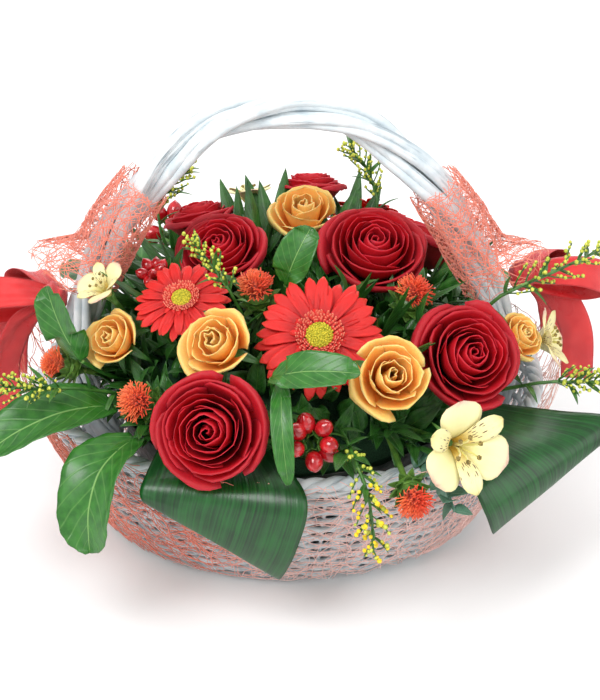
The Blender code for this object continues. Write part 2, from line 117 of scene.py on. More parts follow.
class Finish:
    """A new material on a Principled shader, whose constant sockets are given by name."""

    def __init__(self, name, roughness=0.5, **constants):
        self.material = bpy.data.materials.new(name)
        self.material.use_nodes = True
        self.tree = self.material.node_tree
        self.shader = self.tree.nodes["Principled BSDF"]
        self.shader.inputs["Roughness"].default_value = roughness
        for socket, value in constants.items():
            self.shader.inputs[socket.replace("_", " ").title()].default_value = value

    def node(self, kind, settings=None, values=None, out=0):
        """The output of a new node with its settings, then its socket values or links."""
        made = self.tree.nodes.new(kind)
        for setting, value in (settings or {}).items():
            setattr(made, setting, value)
        pairs = values.items() if isinstance(values, dict) else enumerate(values or [])
        for socket, value in pairs:
            if isinstance(value, Number):
                self.tree.links.new(value.socket, made.inputs[socket])
            else:
                made.inputs[socket].default_value = value
        return Number(self, made.outputs[out])

    def uv(self):
        """(across, along) of the piece's own UV map."""
        place = self.node("ShaderNodeUVMap", {"uv_map": "UVMap"})
        return [self.node("ShaderNodeSeparateXYZ", None, [place], axis) for axis in ("X", "Y")]

    def place(self):
        return self.node("ShaderNodeTexCoord", out="Object")

    def stretched(self, across, along, scale_across, scale_along):
        """UV as a vector for a texture, with a scale of its own each way."""
        return self.node("ShaderNodeCombineXYZ", None, [across * scale_across, along * scale_along])

    def noise(self, vector, scale, detail=3.0):
        values = {"Vector": vector, "Scale": scale, "Detail": detail, "Roughness": 0.55}
        return self.node("ShaderNodeTexNoise", None, values)

    def mix(self, share, first, second):
        """A colour between two colours."""
        first, second = (c if isinstance(c, Number) else (*c, 1) for c in (first, second))
        return self.node("ShaderNodeMix", {"data_type": "RGBA"}, {0: share, 6: first, 7: second}, 2)

    def colour(self, value):
        self.tree.links.new(value.socket, self.shader.inputs["Base Color"])
        return self

    def rough(self, value):
        self.tree.links.new(value.socket, self.shader.inputs["Roughness"])
        return self

    def bump(self, height, distance):
        normal = self.node("ShaderNodeBump", None, {"Height": height, "Distance": distance})
        self.tree.links.new(normal.socket, self.shader.inputs["Normal"])
        return self


def petal_finish(name, deep, body, rim, rim_share, streaks, roughness):
    """A petal, deep at its foot, with fine lengthwise veins and a paler rim."""
    finish = Finish(name, roughness, subsurface_weight=0.35, subsurface_scale=0.004)
    across, along = finish.uv()
    patches = finish.noise(finish.place(), 90)
    veins = finish.noise(finish.stretched(across, along, streaks, 3), 1.0, 2)
    tone = finish.mix((along + patches * 0.3 - 0.15).step(0.15, 0.7), deep, body)
    edge = (along + (veins - 0.5) * 0.06).step(0.86, 1.0)
    shade = finish.mix(veins * 0.14 * (1 - edge), tone, deep)
    finish.colour(finish.mix(edge * rim_share, shade, rim))
    return finish.bump(veins + patches * 0.4, 0.0002).material


def leaf_finish(name, dark, light, rib, roughness=0.36):
    """A leaf with a pale midrib, side veins that slant to the tip and a mottled blade."""
    finish = Finish(name, roughness, coat_weight=0.15, coat_roughness=0.25)
    across, along = finish.uv()
    off_rib = abs(across - 0.5)
    rib_mask = 1 - off_rib.step(0.008, 0.022)
    slant = along - off_rib * 0.55
    pairs_of_veins = 9
    veins = (slant.wave(pairs_of_veins) ** 24) * (1 - rib_mask)
    mottle = finish.noise(finish.place(), 160, 4)
    tone = finish.mix(mottle.step(0.2, 0.8), dark, light)
    tone = finish.mix(veins * 0.22, tone, rib)
    finish.colour(finish.mix(rib_mask * 0.8, tone, rib))
    finish.rough(mottle * 0.2 + (roughness - 0.08))
    return finish.bump(mottle * 0.2 - veins * 0.3 - rib_mask * 0.8, 0.0005).material


def long_leaf_finish(name, dark, light, rib):
    """A glossy strap leaf with close parallel veins."""
    finish = Finish(name, 0.34, coat_weight=0.12, coat_roughness=0.2)
    across, along = finish.uv()
    fine = finish.noise(finish.stretched(across, along, 90, 1.2), 1.0, 2)
    ribs = across.wave(13) ** 6
    mottle = finish.noise(finish.place(), 60, 3)
    tone = finish.mix((fine * 0.7 + mottle * 0.5).step(0.35, 0.85), dark, light)
    finish.colour(finish.mix(ribs * 0.22, tone, rib))
    finish.rough(fine * 0.15 + 0.3)
    return finish.bump(fine * 0.5 + ribs * 0.25, 0.0004).material


@functools.cache
def willow_finish():
    """Willow under thin white paint, with grey creases along the rod."""
    finish = Finish("White willow", 0.5)
    across, along = finish.uv()
    grain = finish.noise(finish.stretched(across, along, 14, 5), 1.0, 4)
    patches = finish.noise(finish.place(), 70, 3)
    tone = finish.mix(patches.step(0.35, 0.75), paint(226, 232, 234), paint(196, 208, 214))
    # Bluish-grey lines (creases) along the rod: partly the willow's grain, partly painted shade.
    grain_lines_and_painted_shade = grain.step(0.56, 0.74)
    finish.colour(finish.mix(grain_lines_and_painted_shade * 0.75, tone, paint(120, 138, 150)))
    finish.rough(grain * 0.3 + 0.35)
    return finish.bump(patches * 0.3 - grain_lines_and_painted_shade, 0.0006).material


def net_finish():
    """Dyed plant fibre, more salmon round the handle and the left, paler across the front."""
    finish = Finish("Net fibre", 0.75, sheen_weight=0.4)
    place = finish.place()
    side = finish.node("ShaderNodeSeparateXYZ", None, [place], "X")
    height = finish.node("ShaderNodeSeparateXYZ", None, [place], "Z")
    patches = finish.noise(place, 26, 3)
    pale = (side * 9.0 + 0.75).step(0.0, 1.0) * (1 - height.step(0.09, 0.14))
    share = (pale + (patches - 0.5) * 0.7).step(0.1, 0.8)
    tone = finish.mix(share, paint(232, 112, 84), paint(242, 196, 188))
    fine = finish.noise(place, 900, 2)
    finish.colour(finish.mix(fine * 0.3, tone, paint(250, 214, 196)))
    return finish.bump(fine, 0.0002).material


def satin_finish():
    """Red satin ribbon with a close cross rib and two selvedges."""
    finish = Finish("Red satin", 0.3, sheen_weight=0.5, sheen_tint=(1.0, 0.55, 0.55, 1), anisotropic=0.6)
    across, along = finish.uv()
    selvedge = abs(across - 0.5).step(0.455, 0.475)
    crumples_and_painted_sheen = finish.noise(finish.place(), 45, 3)
    threads = along.wave(420)
    # Lighter red on the crumples' high points is painted sheen; the same crumples also set roughness and
    # bump.
    tone = finish.mix(crumples_and_painted_sheen.step(0.3, 0.75), paint(222, 26, 34), paint(246, 62, 62))
    finish.colour(finish.mix(selvedge * 0.5, tone, (0.55, 0.005, 0.012)))
    finish.rough(crumples_and_painted_sheen * 0.2 + 0.2)
    return finish.bump(threads * 0.15 + crumples_and_painted_sheen * 0.8 + selvedge * 0.3, 0.0008).material


def speckled_finish(name, first, second, scale, roughness=0.6, distance=0.0004, **constants):
    """Two tones in patches, with a bump from the same patches."""
    finish = Finish(name, roughness, **constants)
    patches = finish.noise(finish.place(), scale, 4)
    finish.colour(finish.mix(patches.step(0.35, 0.68), first, second))
    return finish.bump(patches, distance).material


def tipped_finish(name, foot, tip, roughness=0.55, turn=(0.3, 0.9)):
    """One colour at the foot of each filament or floret and another at its tip."""
    finish = Finish(name, roughness, sheen_weight=0.2)
    _, along = finish.uv()
    patches = finish.noise(finish.place(), 400, 2)
    finish.colour(finish.mix((along + patches * 0.5 - 0.25).step(*turn), foot, tip))
    return finish.bump(patches, 0.0002).material


def dashed_finish(name, base, body, tip, dash, dashes):
    """A tepal with dark dashes in rows along it, and a tinted tip."""
    finish = Finish(name, 0.45, sheen_weight=0.2)
    across, along = finish.uv()
    spots = {"Vector": finish.stretched(across, along, 11, 6), "Scale": 1.0}
    cells = finish.node("ShaderNodeTexVoronoi", {"feature": "F1"}, spots)
    band = along.step(0.30, 0.42) * (1 - along.step(0.70, 0.86)) * dashes
    marks = (1 - cells.step(0.24, 0.34)) * band
    veins = finish.noise(finish.stretched(across, along, 40, 2), 1.0, 2)
    tone = finish.mix(along.step(0.1, 0.6), base, body)
    tone = finish.mix((along + veins * 0.2).step(0.92, 1.12), tone, tip)
    tone = finish.mix(veins * 0.16, tone, (0.72, 0.60, 0.25))
    finish.colour(finish.mix(marks, tone, dash))
    return finish.bump(veins, 0.0003).material


# ---------------------------------------------------------------- mesh helpers


def new_bmesh():
    """An empty bmesh whose faces keep their UV from the shapes that they start as."""
    bm = bmesh.new()
    bm.loops.layers.uv.new("UVMap")
    return bm


def strip(bm, across, along, place, material=0):
    """A grid whose points go to place(u, v), u from -1 to 1 across and v from 0 to 1 along."""
    verts = bmesh.ops.create_grid(bm, x_segments=across, y_segments=along, size=1, calc_uvs=True)["verts"]
    for v in verts:
        v.co = place(v.co.x, v.co.y * 0.5 + 0.5)
    smooth_faces(verts, material)


def smooth_faces(verts, material=0):
    """Shades the faces round the vertices smooth and gives them the material's number."""
    for face in {f for v in verts for f in v.link_faces}:
        face.material_index = material
        face.smooth = True


def tubes(bm, routes, sides=6, closed=False):
    """Tubes with closed ends along routes of (point, radius), joined to the bmesh. UV is (round, along)."""
    curve = bpy.data.curves.new("tubes", "CURVE")
    curve.dimensions = "3D"
    curve.bevel_depth = 1.0
    curve.bevel_resolution = sides // 2 - 2
    curve.use_fill_caps = True
    for route in routes:
        spline = curve.splines.new("POLY")
        spline.points.add(len(route) - 1)
        spline.use_cyclic_u = closed
        for point, (place, radius) in zip(spline.points, route):
            point.co = (*place, 1)
            point.radius = radius
    holder = bpy.data.objects.new("tubes", curve)
    mesh = bpy.data.meshes.new_from_object(holder)
    for face in mesh.polygons:
        face.use_smooth = len(face.vertices) == 4
    before = len(bm.verts)
    bm.from_mesh(mesh)
    bm.verts.ensure_lookup_table()
    bmesh.ops.remove_doubles(bm, verts=bm.verts[before:], dist=1e-6)
    bpy.data.objects.remove(holder)
    bpy.data.curves.remove(curve)
    bpy.data.meshes.remove(mesh)


def ball(bm, middle, radius, material=0, squash=(1, 1, 1), level=1):
    matrix = Matrix.Translation(middle) @ Matrix.Diagonal((*squash, 1))
    made = bmesh.ops.create_icosphere(bm, subdivisions=level, radius=radius, matrix=matrix)["verts"]
    smooth_faces(made, material)


def finish_piece(bm, name, materials, replaced=(), slot="leaf", thickness=0.0, recalc=True):
    """The bmesh as an object that rides on the basket and stands for the CAD nodes named."""
    if recalc:
        bmesh.ops.recalc_face_normals(bm, faces=bm.faces)
    mesh = bpy.data.meshes.new(name)
    bm.to_mesh(mesh)
    bm.free()
    obj = bpy.data.objects.new(name, mesh)
    bpy.context.scene.collection.objects.link(obj)
    for material in materials:
        mesh.materials.append(material)
    if thickness:
        wall = obj.modifiers.new("thickness", "SOLIDIFY")
        wall.thickness = thickness
        wall.offset = 0
    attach(obj, "root")
    if replaced:
        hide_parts(*replaced)
    return obj


def step_past(route, i):
    """From the point before the i-th to the one after it, or to the route's end."""
    return route[min(i + 1, len(route) - 1)] - route[max(i - 1, 0)]


def curve_through(points, steps):
    """A smooth route through the points, with that many steps between each two."""
    points = [Vector(p) for p in points]
    ends = [2 * points[0] - points[1], *points, 2 * points[-1] - points[-2]]
    route = []
    for a, b, c, d in zip(ends, ends[1:], ends[2:], ends[3:]):
        for i in range(steps):
            t = i / steps
            curve = 2 * b + (c - a) * t + (2 * a - 5 * b + 4 * c - d) * t**2 + (3 * b - a - 3 * c + d) * t**3
            route.append(curve / 2)
    return [*route, points[-1]]


# ---------------------------------------------------------------- what the frame says


def node_points(node):
    """The node's corners, each once."""
    corners = numpy.array([v.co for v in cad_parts[node].data.vertices])
    return numpy.unique(corners.round(5), axis=0)


def bloom_place(node, widest_at):
    """(matrix, radius, foot) of a bloom: its face's middle with +Z the way it faces, and the stem's foot.

    widest_at is how far the widest ring lies before the face, as a share of the diameter."""
    corners = node_points(node)
    middle = corners.mean(0)
    spread, axes = numpy.linalg.eigh(numpy.cov((corners - middle).T))
    axis = axes[:, 2] if spread[2] - spread[1] > spread[1] - spread[0] else axes[:, 0]
    along = (corners - middle) @ axis
    away = numpy.linalg.norm(corners - middle - numpy.outer(along, axis), axis=1)
    if along[away.argmax()] < (along.max() + along.min()) / 2:
        axis, along = -axis, -along
    radius = float(away.max())
    aim = Vector(axis)
    face = Vector(middle) + aim * (float(along[away.argmax()]) - widest_at * 2 * radius)
    foot = Vector(middle) + aim * float(along.min())
    turn = aim.to_track_quat("Z", "Y").to_matrix().to_4x4()
    return Matrix.Translation(face) @ turn, radius, foot


def rings_of(node, reach=0.0042):
    """The node's corners in rings, from the end nearest the foam's middle to the other end.

    reach is more than the first ring is across."""
    bm = bmesh.new()
    bm.from_mesh(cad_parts[node].data)
    bmesh.ops.remove_doubles(bm, verts=bm.verts, dist=0.00002)
    bm.verts.index_update()
    low, high = box_of("foam")
    start = Vector(((low.x + high.x) / 2, (low.y + high.y) / 2, low.z + 0.05))
    near = min(bm.verts, key=lambda v: (v.co - start).length)
    seen = {v for v in bm.verts if (v.co - near.co).length < reach}
    ring, rings = set(seen), []
    while ring:
        rings.append([v.co.copy() for v in sorted(ring, key=lambda v: v.index)])
        ring = {e.other_vert(v) for v in ring for e in v.link_edges} - seen
        seen |= ring
    bm.free()
    return rings


def middle_of(ring):
    return sum(ring, Vector()) / len(ring)


def nodes_named(start):
    return sorted(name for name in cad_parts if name.startswith(start))


# ---------------------------------------------------------------- blooms


def bezier(a, b, c, d, t):
    s = 1 - t
    return a * s**3 + 3 * b * s * s * t + 3 * c * s * t * t + d * t**3


def bloom_petal(bm, matrix, turn, half, radial, height, cells, shape):
    """A petal of a round bloom, round its axis from turn - half to turn + half.

    radial and height are the four Bezier values from foot to rim. shape(u, v) gives (share of the way to the
    rim, share of the half angle, shift outwards, shift up)."""

    def place(u, v):
        reach, spread, outwards, upwards = shape(u, v)
        angle = turn + half * spread
        r = bezier(*radial, reach) + outwards
        return matrix @ Vector((r * math.cos(angle), r * math.sin(angle), bezier(*height, reach) + upwards))

    strip(bm, *cells, place)


def rose_petals(bm, matrix, radius, depth, count, wrap, ruffle, seed):
    """Petals in a spiral, from a closed heart to a rim that rolls outwards."""
    rng = random.Random(seed)
    for i in range(count):
        t = (i + 0.4) / (count - 0.6)
        turn = i * GOLDEN_TURN + rng.uniform(-0.16, 0.16)
        half = math.radians(wrap - (wrap - 60) * t**0.45)
        rim = radius * (0.025 + 0.975 * t**1.1) * rng.uniform(0.95, 1.0)
        top = radius * (0.20 + 0.14 * math.sin(math.pi * min(t * 1.15, 1)) - 0.16 * t**3)
        roll = radius * 0.28 * t**1.1
        radial = (0.05 * radius, 0.24 * radius + 0.50 * rim, (0.05 + 0.09 * t) * radius + 0.82 * rim, rim)
        shoulder = top + roll - 0.24 * radius * (1 - t)
        height = (-depth * radius, -depth * 0.85 * radius, shoulder, top - roll * 0.7)
        drift = Vector((rng.uniform(-50, 50), rng.uniform(-50, 50), i))
        dent = rng.uniform(-0.3, 0.3)

        def shape(u, v):
            wave = noise.noise(drift + Vector((u * 1.7, v * 1.3, 0))) * ruffle
            fine = noise.noise(drift + Vector((u * 3.5, v * 2, 5))) * ruffle * 0.22
            point = 0.05 * t * max(0, 1 - abs(u - dent) * 3)
            reach = v * (1 - 0.26 * abs(u) ** 3.4 - 0.05 * t * abs(u) + point)
            outwards = radius * ((0.045 * u + 0.30 * wave * v) * v + fine * v * v + 0.05 * t * u * u * v * v)
            upwards = radius * ((0.22 * wave + fine) * v * v - 0.20 * t * abs(u) ** 1.6 * v**3)
            return reach, u * (0.62 + 0.38 * math.sin(v * math.pi / 2)), outwards, upwards

        bloom_petal(bm, matrix, turn, half, radial, height, (12, 10), shape)


def ray_petals(bm, matrix, radius, count, inner, outer, width, lift, seed, cells=(6, 10)):
    """Flat ray petals between two shares of the radius, with grooves along them and rounded tips."""
    rng = random.Random(seed)
    for i in range(count):
        turn = 2 * math.pi * (i + rng.uniform(-0.18, 0.18)) / count
        reach = outer * radius * rng.uniform(0.88, 1.0)
        rise, droop, twist = rng.uniform(-0.04, 0.08), rng.uniform(0.0, 0.12), rng.uniform(-0.45, 0.45)
        spin = matrix @ Matrix.Rotation(turn, 4, "Z")
        bend = rng.uniform(-0.05, 0.05)

        def place(u, v):
            half = width * radius * (0.42 + 0.58 * math.sin(math.pi * min(v, 0.62) / 1.24))
            tip = math.sqrt(max(0.0, 1 - max(0.0, (v - 0.66) / 0.34) ** 2))
            half *= max(tip, 0.10)
            x = inner * radius + (reach - inner * radius) * v
            groove = 0.012 * radius * math.cos(u * 3 * math.pi) * math.sin(math.pi * v)
            cup = 0.5 * half * u * u * (1 - v)
            z = radius * (lift * (1 - v) + rise * v + 0.10 * v * (1 - v) - droop * v**3) + groove + cup
            z += twist * u * half * v
            return spin @ Vector((x, u * half + bend * radius * v * v, z))

        strip(bm, *cells, place)


# Rings of curled florets in a gerbera: (share of the radius, how many, length in radii)
FLORET_RINGS = ((0.37, 40, 0.12), (0.33, 36, 0.11), (0.29, 32, 0.09), (0.25, 28, 0.07))
EYE_GRAINS = 110


def gerbera_heart(bm, matrix, radius, seed, curl_material, eye_material):
    """Curled florets round a granular eye."""
    rng = random.Random(seed)
    for ring, (share, count, length) in enumerate(FLORET_RINGS):
        for i in range(count):
            turn = 2 * math.pi * (i + 0.5 * (ring % 2) + rng.uniform(-0.3, 0.3)) / count
            spin = matrix @ Matrix.Rotation(turn, 4, "Z")
            long, side = length * radius * rng.uniform(0.8, 1.25), rng.uniform(-0.02, 0.02) * radius
            foot = (share - length * 0.6) * radius

            def place(u, v):
                curl = 2.2 * v
                half = 0.020 * radius * math.sin(math.pi * (0.2 + 0.75 * v))
                x = foot + long * (0.45 * math.sin(curl) + 0.25 * v)
                z = radius * 0.03 + long * (1 - math.cos(curl)) * 0.42
                return spin @ Vector((x, u * half + side * v, z + 0.5 * half * u * u))

            strip(bm, 2, 4, place, curl_material)
    eye = 0.215 * radius
    low_dome = matrix @ Matrix.Diagonal((1, 1, 0.35, 1))
    dome = bmesh.ops.create_icosphere(bm, subdivisions=3, radius=eye, matrix=low_dome)
    smooth_faces(dome["verts"], eye_material)
    for i in range(EYE_GRAINS):
        r, turn = eye * 1.02 * math.sqrt((i + 0.5) / EYE_GRAINS), i * GOLDEN_TURN
        z = 0.35 * math.sqrt(max(0, eye * eye - r * r)) + 0.004 * radius
        place = matrix @ Vector((r * math.cos(turn), r * math.sin(turn), z))
        ball(bm, place, radius * rng.uniform(0.016, 0.024), eye_material)


def tepal(bm, matrix, radius, depth, turn, width, length, curl, seed, material):
    """A lily's tepal, narrow at its foot, widest near its tip and waved along its edges."""
    spin = matrix @ Matrix.Rotation(turn, 4, "Z")
    radial = (0.06 * radius, 0.16 * radius, 0.50 * radius, length * radius)
    height = (-depth * radius, -0.42 * radius, -0.02 * radius, (0.06 - curl) * radius)
    drift = random.Random(seed).uniform(0, 50)

    def place(u, v):
        half = width * radius * (0.10 + 0.90 * math.sin(math.pi * min(1, v**1.25 * 0.62 + 0.02)) ** 1.1)
        half *= math.sqrt(max(0.02, 1 - max(0.0, (v - 0.72) / 0.28) ** 2.4))
        wave = noise.noise(Vector((u * 2, v * 4, drift))) * 0.04 * radius * v
        cup = (0.30 - 0.45 * v) * half * u * u
        return spin @ Vector((bezier(*radial, v) - cup * 0.4, u * half, bezier(*height, v) + cup + wave))

    strip(bm, 10, 14, place, material)


def sepals(bm, matrix, radius, depth, count, length, width, seed, hang=0.5):
    """Green sepals that leave the foot of a bloom and arch down round its stem."""
    rng = random.Random(seed)
    for i in range(count):
        spin = matrix @ Matrix.Rotation(2 * math.pi * (i + rng.uniform(-0.2, 0.2)) / count, 4, "Z")
        droop = hang * rng.uniform(0.5, 1.3)

        def place(u, v):
            half = width * radius * math.sin(math.pi * (0.18 + 0.80 * v)) ** 0.8
            x = radius * (0.08 + length * v)
            z = radius * (-depth + 0.10 * math.sin(math.pi * v) - droop * length * v * v)
            return spin @ Vector((x, u * half, z + half * 0.6 * u * u))

        strip(bm, 4, 7, place)


def stem_and_base(bm, matrix, foot, radius, depth, stem):
    """The stem up from the foam and the swelling under the bloom."""
    start = matrix.inverted() @ foot
    base = -depth * radius
    heights = (start.z, start.z * 0.4 + base * 0.6, base - 0.004, base - 0.001, base + 0.10 * radius)
    girths = (1.0, 0.95, 1.0, 1.5, 1.8)
    tubes(bm, [[(matrix @ Vector((0, 0, z)), stem * girth) for z, girth in zip(heights, girths)]], 8)


# name start: (widest ring before the face as a share of the diameter, depth below the face in radii)
BLOOMS = {
    "red_rose": (-0.04, 0.72),
    "orange_rose": (-0.02, 0.80),
    "gerbera": (0.04, 0.16),
    "lily": (0.0, 0.88),
    "thistle": (0.06, 0.90),
}


def greens_under(node, matrix, radius, foot, depth, count, length, width, stem, leaf, hang=0.5):
    """The sepals, stem and swelling under a bloom, as one piece."""
    bm = new_bmesh()
    sepals(bm, matrix, radius, depth, count, length, width, node, hang)
    stem_and_base(bm, matrix, foot, radius, depth, stem)
    finish_piece(bm, f"{node}_stem", [leaf], thickness=0.0004)


def make_roses(settings):
    leaf = leaf_finish("Sepal", paint(30, 80, 25), paint(70, 130, 50), paint(120, 170, 80))
    red = petal_finish("Red rose petal", paint(92, 0, 8), settings.red, paint(206, 30, 60), 0.3, 46, 0.62)
    glow, pale = paint(255, 164, 62), paint(255, 220, 150)
    orange = petal_finish("Apricot rose petal", glow, settings.apricot, pale, 0.5, 40, 0.5)
    for start, material, slot in (("red_rose", red, "petal_red"), ("orange_rose", orange, "petal_orange")):
        widest, depth = BLOOMS[start]
        big = start == "red_rose"
        for node in nodes_named(start):
            matrix, radius, foot = bloom_place(node, widest)
            bm = new_bmesh()
            count = settings.rose_petals if big else settings.spray_petals
            rose_petals(bm, matrix, radius, depth, count, 172 if big else 160, 0.16 if big else 0.30, node)
            finish_piece(bm, f"{node}_bloom", [material], [node], slot, 0.00035, recalc=False)
            greens_under(node, matrix, radius, foot, depth, 5, 0.75, 0.13, 0.0026 if big else 0.0016, leaf)


def make_gerberas(settings):
    leaf = leaf_finish("Gerbera bract", paint(40, 90, 35), paint(90, 140, 60), paint(130, 170, 90))
    ray = petal_finish("Scarlet ray", paint(190, 8, 8), settings.scarlet, paint(250, 84, 50), 0.35, 70, 0.5)
    curl = tipped_finish("Coral floret", paint(214, 40, 30), paint(250, 150, 120))
    eye = speckled_finish("Yellow eye", paint(150, 150, 20), paint(232, 214, 60), 900, 0.7)
    for node in nodes_named("gerbera"):
        matrix, radius, foot = bloom_place(node, BLOOMS["gerbera"][0])
        bm = new_bmesh()
        count = settings.gerbera_rays
        ray_petals(bm, matrix, radius, count, 0.16, 1.05, 0.104, -0.02, node + "low")
        raised = matrix @ Matrix.Translation((0, 0, 0.035 * radius))
        raised @= Matrix.Rotation(math.pi / count, 4, "Z")
        ray_petals(bm, raised, radius, count - 9, 0.16, 1.0, 0.100, 0.0, node + "high")
        upper = matrix @ Matrix.Translation((0, 0, 0.06 * radius))
        ray_petals(bm, upper, radius, 18, 0.18, 0.50, 0.050, 0.0, node + "inner", cells=(4, 8))
        gerbera_heart(bm, matrix @ Matrix.Translation((0, 0, 0.07 * radius)), radius, node, 1, 2)
        finish_piece(bm, f"{node}_bloom", [ray, curl, eye], [node], "petal_scarlet", 0.0003, recalc=False)
        greens_under(node, matrix, radius, foot, 0.16, 14, 0.30, 0.05, 0.0026, leaf, 0.1)


def make_lilies(settings):
    leaf = leaf_finish("Lily stalk", paint(60, 120, 40), paint(110, 160, 70), paint(130, 170, 90))
    body, tip, dash = settings.cream, paint(240, 196, 176), paint(84, 22, 14)
    outer = dashed_finish("Cream tepal", paint(214, 206, 110), body, tip, dash, 0.0)
    inner = dashed_finish("Dashed tepal", paint(242, 196, 40), body, paint(240, 226, 150), dash, 1.0)
    anther = speckled_finish("Anther", paint(96, 84, 40), paint(176, 150, 80), 700, 0.8)
    widest, depth = BLOOMS["lily"]
    for node in nodes_named("lily"):
        matrix, radius, foot = bloom_place(node, widest)
        bm = new_bmesh()
        for i in range(3):
            turn = 2 * math.pi * i / 3
            tepal(bm, matrix, radius, depth, turn + math.pi / 2, 0.50, 1.02, 0.06, f"{node}{i}", 0)
        lifted = matrix @ Matrix.Translation((0, 0, 0.03 * radius))
        for i in range(3):
            turn = 2 * math.pi * (i + 0.5) / 3
            tepal(bm, lifted, radius, depth, turn + math.pi / 2, 0.25, 0.97, -0.02, f"{node}i{i}", 1)
        rng = random.Random(node)
        filaments = []
        for i in range(6):
            turn = 2 * math.pi * i / 6 + 0.3
            reach, side = rng.uniform(0.22, 0.34), rng.uniform(-0.2, 0.2)
            out = Vector((math.cos(turn + side), math.sin(turn + side), 0))
            points = [(0.02, -0.6), (0.07, -0.3), (reach * 0.6, -0.02), (reach, 0.10)]
            route = [(matrix @ (radius * (r * out + z * UP)), 0.018 * radius) for r, z in points]
            filaments.append(route)
            ball(bm, route[-1][0], 0.05 * radius, 2, (1, 1, 1.2))
        tubes(bm, filaments, 4)
        finish_piece(bm, f"{node}_bloom", [outer, inner, anther], [node], "petal_cream", 0.0004, recalc=False)
        greens_under(node, matrix, radius, foot, depth, 3, 0.4, 0.05, 0.0018, leaf)


# Rows of bracts round a safflower, in radii: (height and reach of the foot, reach and height of the tip)
BRACT_ROWS = ((-1.15, 0.5, 1.0, -1.0), (-0.85, 0.6, 1.05, -0.45), (-0.60, 0.58, 0.9, 0.0))


def make_thistles(settings):
    brush = tipped_finish("Safflower floret", paint(224, 60, 16), settings.amber, 0.6, (0.2, 0.9))
    bract = leaf_finish("Safflower bract", paint(40, 90, 30), paint(110, 150, 60), paint(150, 180, 90))
    widest, _ = BLOOMS["thistle"]
    for node in nodes_named("thistle"):
        matrix, radius, foot = bloom_place(node, widest)
        rng = random.Random(node)
        florets = []
        for i in range(settings.florets):
            turn, share = i * GOLDEN_TURN, math.sqrt((i + 0.5) / settings.florets)
            spread = share * rng.uniform(0.85, 1.05)
            top = 0.84 - 0.62 * share**2 + rng.uniform(-0.10, 0.06)
            bend = rng.uniform(-0.5, 0.5)
            points = []
            for v in (0, 0.35, 0.7, 1.0):
                r = radius * (0.25 * share + (spread - 0.25 * share) * v**1.3)
                angle = turn + bend * v * v
                z = radius * (-0.55 + (top + 0.55) * math.sin(v * math.pi / 2))
                spot = matrix @ Vector((r * math.cos(angle), r * math.sin(angle), z))
                points.append((spot, radius * (0.036 - 0.012 * v)))
            florets.append(points)
        bm = new_bmesh()
        tubes(bm, florets, 4)
        finish_piece(bm, f"{node}_bloom", [brush], [node], "floret_amber", recalc=False)
        bm = new_bmesh()
        ball(bm, matrix @ Vector((0, 0, -0.86 * radius)), 0.62 * radius, 0, level=3)
        for row, (z, r, tip_r, tip_z) in enumerate(BRACT_ROWS):
            for i in range(9):
                spin = matrix @ Matrix.Rotation(2 * math.pi * (i + row / 2) / 9, 4, "Z")
                out, up = tip_r * rng.uniform(0.85, 1.1), tip_z + rng.uniform(-0.12, 0.12)

                def place(u, v):
                    half = 0.20 * radius * math.sin(math.pi * (0.3 + 0.68 * v)) ** 0.9
                    x = radius * (r + (out - r) * v**1.4)
                    return spin @ Vector((x - half * 0.3 * u * u, u * half, radius * (z + (up - z) * v)))

                strip(bm, 4, 6, place)
        stem_and_base(bm, matrix, foot, radius, 1.3, 0.0018)
        finish_piece(bm, f"{node}_bracts", [bract], thickness=0.0004)


# ---------------------------------------------------------------- berries, sprays and leaves


def route_of(node):
    """(middle, mean radius) of each ring of a CAD tube, from its foot in the foam to its tip."""
    route = []
    for ring in rings_of(node):
        middle = middle_of(ring)
        route.append((middle, sum((p - middle).length for p in ring) / len(ring)))
    return route


def make_berries(settings):
    skin = Finish("Berry skin", 0.16, coat_weight=0.6, coat_roughness=0.08)
    patches = skin.noise(skin.place(), 160, 3)
    skin.colour(skin.mix(patches.step(0.35, 0.7), paint(150, 8, 18), settings.berry)).bump(patches, 0.0002)
    leaf = leaf_finish("Berry sepal", paint(50, 100, 30), paint(100, 150, 55), paint(140, 180, 90))
    for node in nodes_named("berries"):
        route = route_of(node)
        middle, reach = max(route, key=lambda place: place[1])
        foot = route[0][0]
        aim = (middle - foot).normalized()
        turn = aim.to_track_quat("Z", "Y").to_matrix()
        rng = random.Random(node)
        fruit, green = new_bmesh(), new_bmesh()
        stalks = [[(foot, 0.0015), (foot.lerp(middle, 0.5), 0.0014), (middle - aim * reach * 0.9, 0.0012)]]
        for i in range(7):
            angle, lift = i * GOLDEN_TURN, rng.uniform(-0.15, 0.9)
            out = Vector((math.cos(angle), math.sin(angle), lift)).normalized()
            size = min(0.0056, reach * 0.40) * rng.uniform(0.85, 1.1)
            place = middle + turn @ out * (reach - size * 0.7)
            point = (turn @ (out + UP * 0.5)).normalized()
            grow = Matrix.Translation(place) @ point.to_track_quat("Z", "Y").to_matrix().to_4x4()
            made = bmesh.ops.create_uvsphere(fruit, u_segments=16, v_segments=10, radius=size)["verts"]
            for v in made:
                v.co.z *= 1.22
                if v.co.z > 0:
                    v.co.z += 0.25 * size * max(0, 1 - math.hypot(v.co.x, v.co.y) / size * 2.2) ** 1.5
                v.co = grow @ v.co
            smooth_faces(made)
            hub, under = middle - aim * reach * 0.9, place - point * size * 1.1
            stalks.append([(hub, 0.0011), (hub.lerp(place, 0.55) + aim * 0.001, 0.0009), (under, 0.0009)])
            for k in range(5):
                spin = grow @ Matrix.Rotation(2 * math.pi * k / 5, 4, "Z")

                def blade(u, v):
                    half = size * 0.42 * math.sin(math.pi * (0.25 + 0.73 * v))
                    return spin @ Vector((size * (0.15 + 0.85 * v), u * half, size * (-1.32 + 0.45 * v * v)))

                strip(green, 2, 4, blade)
        tubes(green, stalks, 6)
        finish_piece(fruit, f"{node}_fruit", [skin.material], [node], "berry_skin")
        finish_piece(green, f"{node}_stalks", [leaf], thickness=0.0003)


